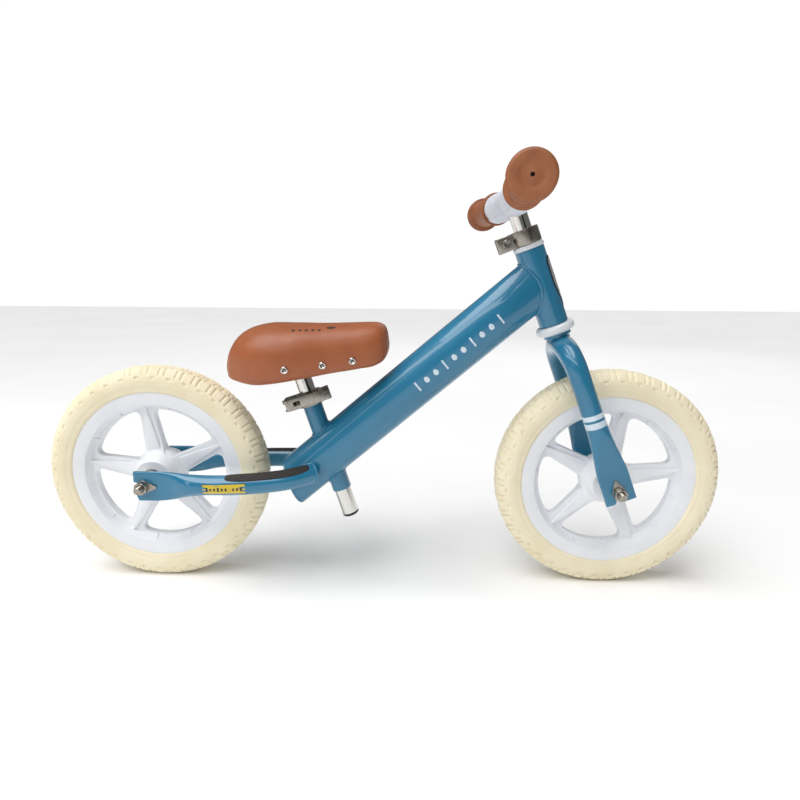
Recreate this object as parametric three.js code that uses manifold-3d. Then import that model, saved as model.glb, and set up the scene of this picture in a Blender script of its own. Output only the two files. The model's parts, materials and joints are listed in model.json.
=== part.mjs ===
// Balance bike for a small child: steel frame, foam-tyred plastic wheels, clamped saddle and bar.
// Millimetres. X runs forward, Y to the rider's left, Z up; the origin is on the ground, midway
// between the wheels.
import * as THREE from "three";
import { mergeVertices } from "three/addons/utils/BufferGeometryUtils.js";
import Module from "manifold-3d";

const wasm = await Module();
wasm.setup();

// ---- driving dimensions ----
const WHEELBASE = 593;
const WHEEL_RADIUS = 145;
const RIM_RADIUS = 113;
const TYRE_HALF_WIDTH = 21;
const STEER_LEAN = 21.5; // degrees back from vertical; the axis runs through the front axle
const SEAT_LEAN = 18;
const MAIN_SLOPE = 40.25; // degrees above horizontal
const GAP = 0.3; // between pieces that touch

const TUBE = 25.4; // legs, steerer and seat tube
const POST = 22.2;
const WALL = 1.5;
const POST_BORE = POST / 2 + GAP; // inside the seat tube and the steerer
const STEERER_BORE_OUT = TUBE / 2 + GAP; // inside the headset cups
const HEAD_BORE = 15.5;
const MAIN_HEIGHT = 62;
const MAIN_WIDTH = 56;
const MAIN_LENGTH = 408;
const MAIN_CUT = 3; // the tube is cut parallel to the head tube, this far past its rear point
const MAIN_REAR = new THREE.Vector3(-118.5, 0, 134.7);
const SEAT_TOP = new THREE.Vector3(-90.5, 0, 239.5); // underside of the seat clamp
const SEAT_TUBE_ABOVE = 18;
const SEAT_TUBE_BELOW = 120;
const HEAD_RADIUS = 18;
const HEAD_LOW = 218; // heights along the steering axis, from the front axle
const HEAD_HIGH = 315;
const STEERER_HIGH = 339;
const BAR_HEIGHT = 376;
const BAR_HALF = 185;
const BAR_SWEEP = 15;
const PAD_HALF = 93;
const PAD_RADIUS = 19.5;

const DROPOUT_Y = 54; // middle of each dropout plate
const DROPOUT_HALF = 3;
const DROPOUT_HEIGHT = 38;
const AXLE_RADIUS = 4.75;
const AXLE_HALF = 74;
const HUB_HALF = 30;
const HUB_RADIUS = 25;
const BEARING_RADIUS = 13;
const BEARING_WIDTH = 8;
const STAY_LEVEL = 147;
const STAY_VENT_X = -214;
const VENT_RADIUS = 2.5;
const SPOKES = 5;
const REAR_SPOKE_ANGLE = 98; // degrees, of the first spoke
const FRONT_SPOKE_ANGLE = 8;

const Z_AXIS = new THREE.Vector3(0, 0, 1);
const rad = THREE.MathUtils.degToRad;

// ---- materials ----
function material(color, roughness, metalness) {
  return new THREE.MeshStandardMaterial({ color, roughness, metalness });
}
const PAINT = () => material(0x3f7fa2, 0.25, 0.1);
const CHROME = () => material(0xd8d8d6, 0.12, 1);
const ZINC = () => material(0xb9bab6, 0.35, 1);
const WHITE = () => material(0xe9eaf0, 0.45, 0);
const FOAM_TYRE = () => material(0xf0e2bb, 0.8, 0);
const BROWN_LEATHER = () => material(0x97573a, 0.5, 0);
const BROWN_RUBBER = () => material(0x8c573a, 0.7, 0);
const BLACK = () => material(0x18191a, 0.7, 0);
const FOAM_PAD = () => material(0xdfe2ea, 0.85, 0);
const SILVER_FOIL = () => material(0xd0d3d6, 0.4, 0.2);

// ---- frames of reference ----
// A place whose Z leans back from vertical by `lean` degrees in the bike's middle plane.
function leaning(origin, lean) {
  const turn = new THREE.Matrix4().makeRotationY(-rad(lean));
  return turn.setPosition(origin);
}
const REAR_AXLE = new THREE.Vector3(-WHEELBASE / 2, 0, WHEEL_RADIUS);
const FRONT_AXLE = new THREE.Vector3(WHEELBASE / 2, 0, WHEEL_RADIUS);
const STEERING = leaning(FRONT_AXLE, STEER_LEAN);
const SEATING = leaning(SEAT_TOP, SEAT_LEAN);
const MAIN = leaning(MAIN_REAR, MAIN_SLOPE - 90);
const MAIN_END = leaning(MAIN_REAR, STEER_LEAN);
MAIN_END.multiply(new THREE.Matrix4().makeTranslation(MAIN_CUT, 0, 0));

// ---- solids ----
function solid(geometry) {
  const bare = geometry.index ? geometry.toNonIndexed() : geometry.clone();
  bare.deleteAttribute("normal");
  bare.deleteAttribute("uv");
  const merged = mergeVertices(bare, 1e-4);
  const triVerts = new Uint32Array(merged.index.array);
  const vertProperties = merged.attributes.position.array;
  return new wasm.Manifold(new wasm.Mesh({ numProp: 3, vertProperties, triVerts }));
}

function shapeOf(body) {
  const mesh = body.getMesh();
  const geometry = new THREE.BufferGeometry();
  geometry.setAttribute("position", new THREE.BufferAttribute(mesh.vertProperties, 3));
  geometry.setIndex(new THREE.BufferAttribute(mesh.triVerts, 1));
  geometry.computeVertexNormals();
  return geometry;
}

function join(...geometries) {
  return shapeOf(geometries.map(solid).reduce((whole, next) => whole.add(next)));
}

function cut(geometry, ...tools) {
  return shapeOf(tools.map(solid).reduce((whole, next) => whole.subtract(next), solid(geometry)));
}

function common(first, second) {
  return shapeOf(solid(first).intersect(solid(second)));
}

function placed(geometry, matrix) {
  return geometry.clone().applyMatrix4(matrix);
}

function moved(geometry, x, y, z) {
  return geometry.clone().translate(x, y, z);
}

// A round bar along Z between two heights.
function rod(radius, low, high, sides = 24) {
  const bar = new THREE.CylinderGeometry(radius, radius, high - low, sides);
  return bar.rotateX(Math.PI / 2).translate(0, 0, (low + high) / 2);
}

// A round bar along Y between two stations.
function crossRod(radius, low, high, sides = 16) {
  const bar = new THREE.CylinderGeometry(radius, radius, high - low, sides);
  return bar.translate(0, (low + high) / 2, 0);
}

// Holes along Z and along Y, whose flats, not corners, lie at the radius.
function bore(radius, low, high, sides = 16) {
  return rod(radius / Math.cos(Math.PI / sides), low, high, sides);
}

function crossBore(radius, low, high, sides = 12) {
  return crossRod(radius / Math.cos(Math.PI / sides), low, high, sides);
}

function block(x0, x1, y0, y1, z0, z1) {
  const box = new THREE.BoxGeometry(x1 - x0, y1 - y0, z1 - z0);
  return box.translate((x0 + x1) / 2, (y0 + y1) / 2, (z0 + z1) / 2);
}

// A ring turned about Y from a closed list of [radius, y] corners.
function turned(corners, sides) {
  const points = corners.map(([radius, y]) => new THREE.Vector2(radius, y));
  points.push(points[0].clone());
  const ring = new THREE.LatheGeometry(points, sides);
  return solid(ring).volume() > 0 ? ring : turned([...corners].reverse(), sides);
}

// The same ring turned about Z.
function turnedZ(corners, sides) {
  return turned(corners, sides).rotateX(Math.PI / 2);
}

// A closed tube whose rings follow stations { at, tall, wide, square }. `tall` is the half size
// towards `up`, `wide` the half size across it, and `square` runs from 2, an ellipse, upwards
// to a box with round corners; `under` is the same for the side away from `up`.
function lofted(stations, up, sides) {
  const tube = new THREE.CylinderGeometry(1, 1, 1, sides, stations.length - 1);
  const rings = stations.length - 1;
  const position = tube.attributes.position;
  const frames = stations.map((station, i) => {
    const before = stations[Math.max(i - 1, 0)].at;
    const after = stations[Math.min(i + 1, rings)].at;
    const along = after.clone().sub(before).normalize();
    const tallWay = up.clone().addScaledVector(along, -up.dot(along)).normalize();
    const wideWay = tallWay.clone().cross(along);
    return { tallWay, wideWay };
  });
  for (let i = 0; i < position.count; i++) {
    const ring = Math.round((position.getY(i) + 0.5) * rings);
    const { at, tall, wide, square = 2, under = square } = stations[ring];
    const power = 2 / (position.getX(i) < 0 ? under : square);
    const round = (v) => (Math.abs(v) < 1e-6 ? 0 : Math.sign(v) * Math.abs(v) ** power);
    const spot = at.clone();
    spot.addScaledVector(frames[ring].tallWay, tall * round(position.getX(i)));
    spot.addScaledVector(frames[ring].wideWay, wide * round(position.getZ(i)));
    position.setXYZ(i, spot.x, spot.y, spot.z);
  }
  return tube;
}

// Stations along a smooth curve through knots { at, tall, wide, square }, `steps` of them.
function along(knots, steps) {
  const curve = new THREE.CatmullRomCurve3(knots.map((knot) => knot.at), false, "centripetal");
  const blend = (key, t) => {
    const place = t * (knots.length - 1);
    const i = Math.min(Math.floor(place), knots.length - 2);
    return THREE.MathUtils.lerp(knots[i][key] ?? 2, knots[i + 1][key] ?? 2, place - i);
  };
  return Array.from({ length: steps + 1 }, (_, i) => {
    const t = i / steps;
    const sizes = { tall: blend("tall", t), wide: blend("wide", t), square: blend("square", t) };
    return { at: curve.getPoint(t), ...sizes };
  });
}

function resized(stations, growth) {
  return stations.map((s) => ({ ...s, tall: s.tall + growth, wide: s.wide + growth }));
}

// ---- the bike ----
const bike = new THREE.Group();

function add(name, geometry, finish, group = bike) {
  const mesh = new THREE.Mesh(geometry, finish());
  mesh.name = name;
  group.add(mesh);
  return mesh;
}

// A group whose Z is a leaning axis, for pieces drawn upright on that axis.
function groupAt(matrix) {
  const group = new THREE.Group();
  group.applyMatrix4(matrix);
  bike.add(group);
  return group;
}
const steering = groupAt(STEERING);
const seating = groupAt(SEATING);

// ---- frame ----
const HEAD_TAPER = 90; // the main tube narrows to the head tube over this length

function mainTubeStations(start, end) {
  const heights = [start, MAIN_LENGTH - HEAD_TAPER, MAIN_LENGTH - HEAD_TAPER * 0.6, end];
  const widths = [MAIN_WIDTH / 2, MAIN_WIDTH / 2, MAIN_WIDTH / 2 - 2, HEAD_RADIUS + 1];
  return heights.map((z, i) => ({
    at: new THREE.Vector3(0, 0, z),
    tall: MAIN_HEIGHT / 2,
    wide: widths[i],
    square: 2.15,
  }));
}

// The stay on one side, from its dropout to the wall of the main tube.
function stayStations(side) {
  const knot = (x, y, z, tall, wide, square) => ({
    at: new THREE.Vector3(x, side * y, z),
    tall: tall / 2,
    wide: wide / 2,
    square,
  });
  const knots = [
    knot(-308, DROPOUT_Y, WHEEL_RADIUS, DROPOUT_HEIGHT, 2 * DROPOUT_HALF, 8),
    knot(-280, DROPOUT_Y, WHEEL_RADIUS, DROPOUT_HEIGHT, 2 * DROPOUT_HALF, 8),
    knot(-262, DROPOUT_Y, WHEEL_RADIUS + 0.5, 36, 9, 3.5),
    knot(-242, DROPOUT_Y, STAY_LEVEL - 0.6, 29, 21, 2.2),
    knot(-220, DROPOUT_Y, STAY_LEVEL, TUBE, TUBE, 2),
    knot(-186, DROPOUT_Y, STAY_LEVEL + 0.6, TUBE, TUBE, 2),
    knot(-150, DROPOUT_Y - 2.5, STAY_LEVEL + 2.5, TUBE, TUBE, 2),
    knot(-116, DROPOUT_Y - 10, STAY_LEVEL + 5, TUBE, TUBE, 2),
    knot(-80, 24, STAY_LEVEL + 9, TUBE, TUBE, 2),
  ];
  return along(knots, 13);
}

// The slot that the axle drops into, open along -X of its own place, cut right across.
function axleSlot(matrix) {
  const radius = AXLE_RADIUS + GAP;
  const round = crossBore(radius, -2 * DROPOUT_Y, 2 * DROPOUT_Y, 12);
  const mouth = block(-40, 0, -2 * DROPOUT_Y, 2 * DROPOUT_Y, -radius, radius);
  return placed(join(round, mouth), matrix);
}

function frame() {
  const upperSide = new THREE.Vector3(-1, 0, 0);
  const mainOuter = placed(lofted(mainTubeStations(-20, MAIN_LENGTH), upperSide, 24), MAIN);
  const hollow = resized(mainTubeStations(-30, MAIN_LENGTH - 24), -WALL);
  const mainInner = placed(lofted(hollow, upperSide, 14), MAIN);
  const behind = placed(block(-80, 0, -60, 60, -80, 80), MAIN_END);
  const head = placed(rod(HEAD_RADIUS, HEAD_LOW, HEAD_HIGH, 24), STEERING);
  const headBore = placed(bore(HEAD_BORE, HEAD_LOW - 20, HEAD_HIGH + 20), STEERING);
  const seat = placed(rod(TUBE / 2, -SEAT_TUBE_BELOW, SEAT_TUBE_ABOVE, 20), SEATING);
  const seatBore = placed(bore(POST_BORE, -SEAT_TUBE_BELOW - 5, SEAT_TUBE_ABOVE + 5), SEATING);
  const slit = placed(block(-20, 0, -1, 1, -16, SEAT_TUBE_ABOVE + 5), SEATING);
  const shell = cut(join(mainOuter, head), mainInner, headBore, behind);
  const stays = [-1, 1].map((side) => {
    const stations = stayStations(side);
    const hollowRun = lofted(resized(stations.slice(4, 11), -WALL), Z_AXIS, 8);
    return cut(lofted(stations, Z_AXIS, 12), hollowRun, mainInner);
  });
  const vents = moved(crossRod(VENT_RADIUS, -DROPOUT_Y, DROPOUT_Y, 8), STAY_VENT_X, 0, STAY_LEVEL + 2);
  const slot = axleSlot(new THREE.Matrix4().setPosition(REAR_AXLE));
  return cut(join(shell, seat, ...stays), seatBore, slit, slot, vents);
}
add("frame", frame(), PAINT);

// A plug for the open lower end of the main tube: a plate outside and a shallow spigot inside.
function mainTubeCap() {
  const slice = (inset, from, to) => {
    const stations = resized(mainTubeStations(-40, 60), -inset);
    const tube = placed(lofted(stations.slice(0, 2), new THREE.Vector3(-1, 0, 0), 24), MAIN);
    return common(tube, placed(block(from, to, -60, 60, -80, 80), MAIN_END));
  };
  return join(slice(0.3, -2.7, -GAP), slice(WALL + 0.8, -1, 4));
}
add("main_tube_cap", mainTubeCap(), PAINT);

// Grip strips along the top of each stay, where a child rests the feet.
function footrest(side) {
  const stations = stayStations(side).slice(7, 13);
  const sleeve = (growth) => lofted(resized(stations, growth), Z_AXIS, 12);
  const skin = cut(sleeve(1.5), sleeve(0.5));
  const lean = rad(72);
  const offset = new THREE.Vector3(0, side * Math.cos(lean), Math.sin(lean)).multiplyScalar(15);
  const kept = stations.map(({ at }) => ({ at: at.clone().add(offset), tall: 11.2, wide: 11.2 }));
  return common(skin, lofted(kept, Z_AXIS, 8));
}
add("footrest_left", footrest(1), BLACK);
add("footrest_right", footrest(-1), BLACK);

// ---- headset and badge, upright on the steering axis ----
const lowerCup = [
  [STEERER_BORE_OUT, HEAD_LOW - 11],
  [21, HEAD_LOW - 11],
  [23.6, HEAD_LOW - 8.5],
  [23.6, HEAD_LOW - 3.5],
  [21, HEAD_LOW - GAP],
  [HEAD_BORE - GAP, HEAD_LOW - GAP],
  [HEAD_BORE - GAP, HEAD_LOW + 14],
  [STEERER_BORE_OUT, HEAD_LOW + 14],
];
add("headset_lower_cup", turnedZ(lowerCup, 20), WHITE, steering);
const upperCup = [
  [STEERER_BORE_OUT, HEAD_HIGH - 14],
  [HEAD_BORE - GAP, HEAD_HIGH - 14],
  [HEAD_BORE - GAP, HEAD_HIGH + GAP],
  [HEAD_RADIUS + 0.4, HEAD_HIGH + GAP],
  [HEAD_RADIUS + 0.4, HEAD_HIGH + 5],
  [HEAD_RADIUS - 0.6, HEAD_HIGH + 6],
  [STEERER_BORE_OUT, HEAD_HIGH + 6],
];
add("headset_upper_cup", turnedZ(upperCup, 20), WHITE, steering);

// A thin shield wrapped round the front of the head tube.
function headBadge() {
  const middle = 268;
  const outline = new THREE.Shape();
  outline.moveTo(0, middle - 33);
  outline.quadraticCurveTo(15, middle - 20, 15, middle);
  outline.lineTo(15, middle + 26);
  outline.quadraticCurveTo(8, middle + 27, 0, middle + 33);
  outline.quadraticCurveTo(-8, middle + 27, -15, middle + 26);
  outline.lineTo(-15, middle);
  outline.quadraticCurveTo(-15, middle - 20, 0, middle - 33);
  const prism = new THREE.ExtrudeGeometry(outline, { depth: 30, bevelEnabled: false, curveSegments: 3 });
  prism.rotateX(Math.PI / 2).rotateZ(Math.PI / 2);
  const skin = [
    [HEAD_RADIUS + GAP, middle - 40],
    [HEAD_RADIUS + 1.1, middle - 40],
    [HEAD_RADIUS + 1.1, middle + 40],
    [HEAD_RADIUS + GAP, middle + 40],
  ];
  return common(turnedZ(skin, 32), prism);
}
add("head_badge", headBadge(), SILVER_FOIL, steering);

// ---- fork ----
function legStations(side) {
  const knot = (z, y, tall, wide, square) => ({
    at: new THREE.Vector3(0, side * y, z),
    tall: tall / 2,
    wide: wide / 2,
    square,
  });
  const knots = [
    knot(-13, DROPOUT_Y, DROPOUT_HEIGHT, 2 * DROPOUT_HALF, 8),
    knot(28, DROPOUT_Y, DROPOUT_HEIGHT, 2 * DROPOUT_HALF, 8),
    knot(50, DROPOUT_Y - 0.5, 32, 13, 3.2),
    knot(76, DROPOUT_Y - 1.5, 27, 24, 2.2),
    knot(112, DROPOUT_Y - 4, TUBE, TUBE, 2),
    knot(150, DROPOUT_Y - 6, TUBE, TUBE, 2),
    knot(172, 43, TUBE + 1, TUBE, 2),
    knot(186, 27, TUBE + 3, TUBE, 2),
    knot(191, 4, TUBE + 3, TUBE, 2),
  ];
  return along(knots, 12);
}

function fork() {
  const forward = new THREE.Vector3(1, 0, 0);
  const legs = [-1, 1].map((side) => {
    const stations = legStations(side);
    const hollow = lofted(resized(stations.slice(3, 10), -WALL), forward, 8);
    return cut(lofted(stations, forward, 12), hollow);
  });
  const steerer = rod(TUBE / 2, HEAD_LOW - 24, STEERER_HIGH, 18);
  const crownRace = rod(17, HEAD_LOW - 17, HEAD_LOW - 11 - GAP, 18);
  const steererBore = bore(POST_BORE, HEAD_LOW - 6, STEERER_HIGH + 5);
  const slit = block(-20, 0, -1, 1, STEERER_HIGH - 30, STEERER_HIGH + 5);
  const vents = moved(crossRod(VENT_RADIUS, -DROPOUT_Y, DROPOUT_Y, 8), 0, 0, 58);
  const slot = axleSlot(new THREE.Matrix4().makeRotationY(-Math.PI / 2));
  return cut(join(steerer, crownRace, ...legs), steererBore, slit, vents, slot);
}
add("fork", fork(), PAINT, steering);

// A split collar round a tube with two ears behind it, drilled across for its bolt.
function collar(outer, inner, low, high, earReach, earWide, earSlack, boltAt) {
  const ring = [
    [inner, low],
    [outer, low],
    [outer, high],
    [inner, high],
  ];
  const ears = block(-earReach, -inner - 1, -earWide, earWide, low + 1, high - 1);
  const split = block(-earReach - 5, 0, -earSlack, earSlack, low - 5, high + 5);
  const hole = moved(crossBore(3.3, -40, 40, 8), boltAt, 0, (low + high) / 2);
  return cut(join(turnedZ(ring, 20), ears), split, bore(inner, low - 1, high + 1, 20), hole);
}
const COLLAR_LOW = HEAD_HIGH + 6 + GAP;
const COLLAR_HIGH = STEERER_HIGH + 1;
const BAR_BOLT_X = -25;
const collarMiddle = (COLLAR_LOW + COLLAR_HIGH) / 2;
const barCollar = collar(18, TUBE / 2 + GAP, COLLAR_LOW, COLLAR_HIGH, 36, 8, 1.2, BAR_BOLT_X);
add("bar_clamp_collar", barCollar, ZINC, steering);

// A cap screw along Y with a hexagon socket in its head.
function capScrew(headRadius, headDeep, shankRadius, length) {
  const head = crossRod(headRadius, -headDeep, 0, 20);
  const shank = crossRod(shankRadius, -0.5, length, 12);
  const socket = crossRod(headRadius * 0.5, -headDeep - 1, -headDeep * 0.4, 6);
  return cut(join(head, shank), socket);
}
const barBolt = moved(capScrew(5.2, 5, 3, 17.5), BAR_BOLT_X, -8 - GAP, collarMiddle);
add("bar_clamp_bolt", barBolt, ZINC, steering);

function hexNut(acrossFlats, deep, hole, low) {
  const radius = acrossFlats / Math.sqrt(3);
  return cut(crossRod(radius, low, low + deep, 6), crossBore(hole, low - 1, low + deep + 1, 12));
}
const barNut = moved(hexNut(10, 5, 3 + GAP, 8 + GAP), BAR_BOLT_X, 0, collarMiddle);
add("bar_clamp_nut", barNut, ZINC, steering);

// ---- handlebar ----
const BAR_CENTRE = new THREE.Vector3(0, 0, BAR_HEIGHT).applyMatrix4(STEERING);
const BAR_STRAIGHT = 40;
const BAR_BENDS = [-BAR_STRAIGHT - 8, -BAR_STRAIGHT + 8, BAR_STRAIGHT - 8, BAR_STRAIGHT + 8];

// The middle of the bar at a distance y from the centre plane.
function barPoint(y) {
  const bent = Math.max(0, Math.abs(y) - BAR_STRAIGHT);
  const sweep = (BAR_SWEEP * bent) / (BAR_HALF - BAR_STRAIGHT);
  return new THREE.Vector3(BAR_CENTRE.x - sweep, y, BAR_CENTRE.z);
}

function barStations(ys, radius) {
  return ys.map((y) => ({ at: barPoint(y), tall: radius, wide: radius, square: 2 }));
}

function handlebar() {
  const end = BAR_HALF - 5;
  const bar = lofted(barStations([-end, ...BAR_BENDS, end], POST / 2), Z_AXIS, 16);
  const inner = [-end - 5, ...BAR_BENDS, end + 5];
  const barBore = lofted(barStations(inner, POST / 2 - WALL), Z_AXIS, 8);
  const post = placed(rod(POST / 2, HEAD_LOW + 8, BAR_HEIGHT, 16), STEERING);
  const postBore = placed(rod(POST / 2 - WALL, HEAD_LOW, BAR_HEIGHT - 14, 8), STEERING);
  return cut(join(bar, post), barBore, postBore);
}
add("handlebar", handlebar(), CHROME);

// A soft sleeve round the middle of the bar, notched for the post.
function barPad() {
  const outer = lofted(barStations([-PAD_HALF, ...BAR_BENDS, PAD_HALF], PAD_RADIUS), Z_AXIS, 18);
  const past = [-PAD_HALF - 3, ...BAR_BENDS, PAD_HALF + 3];
  const inner = lofted(barStations(past, POST / 2 + 0.6), Z_AXIS, 16);
  const notch = placed(bore(POST / 2 + 0.5, BAR_HEIGHT - 40, BAR_HEIGHT, 12), STEERING);
  return cut(outer, inner, notch);
}
add("bar_pad", barPad(), FOAM_PAD);

// A moulded grip along the bar: end disc, ring grooves, handle, inner flange and a blind bore.
function grip() {
  const profile = [
    [2, BAR_HALF],
    [19.5, BAR_HALF - 0.8],
    [23.3, BAR_HALF - 2.5],
    [23.3, BAR_HALF - 7],
    [19.5, BAR_HALF - 8.5],
    [20.8, BAR_HALF - 11],
    [19.8, BAR_HALF - 14],
    [15.8, BAR_HALF - 17],
    [15.3, PAD_HALF + 9],
    [18, PAD_HALF + 7],
    [21.8, PAD_HALF + 5],
    [21.8, PAD_HALF + 1.6],
    [POST / 2 + GAP, PAD_HALF + 0.8],
    [POST / 2 + GAP, BAR_HALF - 4],
    [2, BAR_HALF - 4],
  ];
  return turned(profile, 16);
}
const SWEEP_ANGLE = Math.atan(BAR_SWEEP / (BAR_HALF - BAR_STRAIGHT));
for (const [name, side] of [["grip_left", 1], ["grip_right", -1]]) {
  const shape = moved(grip(), 0, -BAR_HALF, 0);
  if (side < 0) shape.rotateZ(Math.PI);
  shape.rotateZ(side * SWEEP_ANGLE);
  const { x, y, z } = barPoint(side * BAR_HALF);
  add(name, moved(shape, x, y, z), BROWN_RUBBER);
}

// ---- saddle, drawn in a frame whose XY plane is its underside ----
const SADDLE_TILT = 8.5; // the underside rises towards the nose
const SADDLE = leaning(new THREE.Vector3(-92, 0, 284), SADDLE_TILT);
const saddle = groupAt(SADDLE);
const PAN_LOW = 4;
const PAN_HIGH = 20;
const PAN_WALL = 3;
const CUSHION_WALL = 8;
const PLATE_HIGH = PAN_HIGH - PAN_WALL - GAP;
const PLATE_DEEP = 3;
const RIVET_HEIGHT = 12.4;
const SADDLE_BOLT_XS = [-37, 10];

// Cross-sections of the padded top, from the tail to the nose: x, underside, crown, half width.
const saddleSections = [
  [-95, 9, 26, 14],
  [-90, 5, 41, 31],
  [-79, 0, 56, 45],
  [-62, -4, 66, 55],
  [-42, -4.5, 69, 60],
  [-10, -3.5, 64.5, 57],
  [30, -2.5, 58.5, 47],
  [68, -2, 54, 40],
  [86, 0, 51, 36],
  [98, 5, 45, 29],
  [105, 14, 36, 16],
];

function halfWidthAt(x) {
  const i = saddleSections.findIndex((section) => section[0] >= x);
  const [before, after] = [saddleSections[i - 1], saddleSections[i]];
  return THREE.MathUtils.mapLinear(x, before[0], after[0], before[3], after[3]);
}

// A straight-sided block that follows the saddle's outline, `inset` inside it.
function saddleSlab(inset, low, high) {
  const xs = [-90 + inset, -66, -38, 30, 90 - inset];
  const widths = xs.map((x, i) => halfWidthAt(x) - inset - (i === 0 || i === xs.length - 1 ? 6 : 0));
  const near = xs.map((x, i) => new THREE.Vector2(x, -widths[i]));
  const far = xs.map((x, i) => new THREE.Vector2(x, widths[i])).reverse();
  const plan = new THREE.Shape([...near, ...far]);
  const slab = new THREE.ExtrudeGeometry(plan, { depth: high - low, bevelEnabled: false });
  return slab.translate(0, 0, low);
}

const rivetPlaces = [-19, 25, 61].flatMap((x, i) =>
  [-1, 1].map((side) => {
    const slope = Math.atan((halfWidthAt(x + 5) - halfWidthAt(x - 5)) / 10);
    const name = ["rear", "middle", "front"][i] + (side > 0 ? "_left" : "_right");
    const matrix = new THREE.Matrix4().makeRotationZ(side * slope + (side > 0 ? 0 : Math.PI));
    matrix.setPosition(x, side * (halfWidthAt(x) * 0.985 + GAP), RIVET_HEIGHT);
    return { name, matrix };
  }),
);
const rivetHoles = rivetPlaces.map(({ matrix }) => placed(crossBore(2.3, -13, 5, 8), matrix));

function saddleCushion() {
  const stations = saddleSections.map(([x, low, high, wide]) => ({
    at: new THREE.Vector3(x, 0, (low + high) / 2),
    tall: (high - low) / 2,
    wide,
    square: 2.5,
    under: 5,
  }));
  return cut(lofted(stations, Z_AXIS, 20), saddleSlab(CUSHION_WALL, -5, PAN_HIGH + GAP), ...rivetHoles);
}
add("saddle_cushion", saddleCushion(), BROWN_LEATHER, saddle);

function saddlePan() {
  const whole = saddleSlab(CUSHION_WALL + GAP, PAN_LOW, PAN_HIGH);
  const inside = saddleSlab(CUSHION_WALL + PAN_WALL, -5, PAN_HIGH - PAN_WALL);
  const tray = cut(whole, inside);
  const holes = SADDLE_BOLT_XS.map((x) => moved(bore(3.3, 0, 40, 8), x, 0, 0));
  return cut(tray, ...holes, ...rivetHoles);
}
add("saddle_pan", saddlePan(), BLACK, saddle);

for (const { name, matrix } of rivetPlaces) {
  const dome = [
    [0, -12],
    [2, -12],
    [2, 0],
    [3.9, 0],
    [2.8, 1.4],
    [0, 1.9],
  ].map(([radius, y]) => new THREE.Vector2(radius, y));
  add("saddle_rivet_" + name, placed(new THREE.LatheGeometry(dome, 10), matrix), ZINC, saddle);
}

// The post: a tube plugged below, with a plate across its top that bolts under the saddle pan.
const POST_LOW = -155;
const POST_TO_PLATE = 62;

function seatPost() {
  const tube = placed(rod(POST / 2, POST_LOW, POST_TO_PLATE, 20), SEATING);
  const postBore = placed(bore(POST / 2 - WALL, POST_LOW - 5, POST_TO_PLATE - 12), SEATING);
  const plate = block(-46, 20, -18, 18, PLATE_HIGH - PLATE_DEEP, PLATE_HIGH);
  const above = block(-60, 40, -40, 40, PLATE_HIGH, PLATE_HIGH + 40);
  const holes = SADDLE_BOLT_XS.map((x) => moved(bore(3.3, 0, 40, 8), x, 0, 0));
  const [plateThere, aboveThere, ...holesThere] = [plate, above, ...holes].map((g) => placed(g, SADDLE));
  return cut(join(tube, plateThere), postBore, aboveThere, ...holesThere);
}
add("seat_post", seatPost(), CHROME);
SADDLE_BOLT_XS.forEach((x, i) => {
  const screw = capScrew(5, 4, 3, PLATE_DEEP + PAN_WALL - 1).rotateX(Math.PI / 2);
  const place = moved(screw, x, 0, PLATE_HIGH - PLATE_DEEP - GAP);
  add(["saddle_bolt_rear", "saddle_bolt_front"][i], place, ZINC, saddle);
});
const plugProfile = [
  [0, POST_LOW - 4],
  [9.5, POST_LOW - 4],
  [POST / 2, POST_LOW - 2.5],
  [POST / 2, POST_LOW - GAP],
  [POST / 2 - WALL - GAP, POST_LOW - GAP],
  [POST / 2 - WALL - GAP, POST_LOW + 10],
  [0, POST_LOW + 10],
].map(([radius, z]) => new THREE.Vector2(radius, z));
add("seat_post_plug", new THREE.LatheGeometry(plugProfile, 16).rotateX(Math.PI / 2), BLACK, seating);

// ---- quick-release seat clamp, upright on the seat tube ----
const CLAMP_LOW = 1;
const CLAMP_HIGH = 19;
const CLAMP_MIDDLE = (CLAMP_LOW + CLAMP_HIGH) / 2;
const PIVOT_X = -25;
const PIVOT_Y = -15;
const CAM_RADIUS = 7.2;
const LEVER_LOW = 4;
const LEVER_HIGH = 19;
const THUMB_TAB = 2.5; // how far the tab stands above the lever
const seatCollar = collar(17, TUBE / 2 + GAP, CLAMP_LOW, CLAMP_HIGH, 32, 6.5, 1.2, PIVOT_X);
add("seat_clamp_collar", seatCollar, ZINC, seating);

function seatClampBolt() {
  const shank = moved(crossRod(2.9, PIVOT_Y, 13, 12), PIVOT_X, 0, CLAMP_MIDDLE);
  const eye = moved(rod(4.6, CLAMP_MIDDLE - 4, CLAMP_MIDDLE + 4, 16), PIVOT_X, PIVOT_Y, 0);
  const hole = moved(bore(2.3, 0, 30, 10), PIVOT_X, PIVOT_Y, 0);
  return cut(join(shank, eye), hole);
}
add("seat_clamp_bolt", seatClampBolt(), ZINC, seating);
const clampPin = moved(rod(2, LEVER_LOW - 1, LEVER_HIGH + 0.5, 12), PIVOT_X, PIVOT_Y, 0);
add("seat_clamp_pin", clampPin, ZINC, seating);
const seatNut = moved(hexNut(10, 5, 2.9 + GAP, 6.5 + GAP), PIVOT_X, 0, CLAMP_MIDDLE);
add("seat_clamp_nut", seatNut, ZINC, seating);

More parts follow.
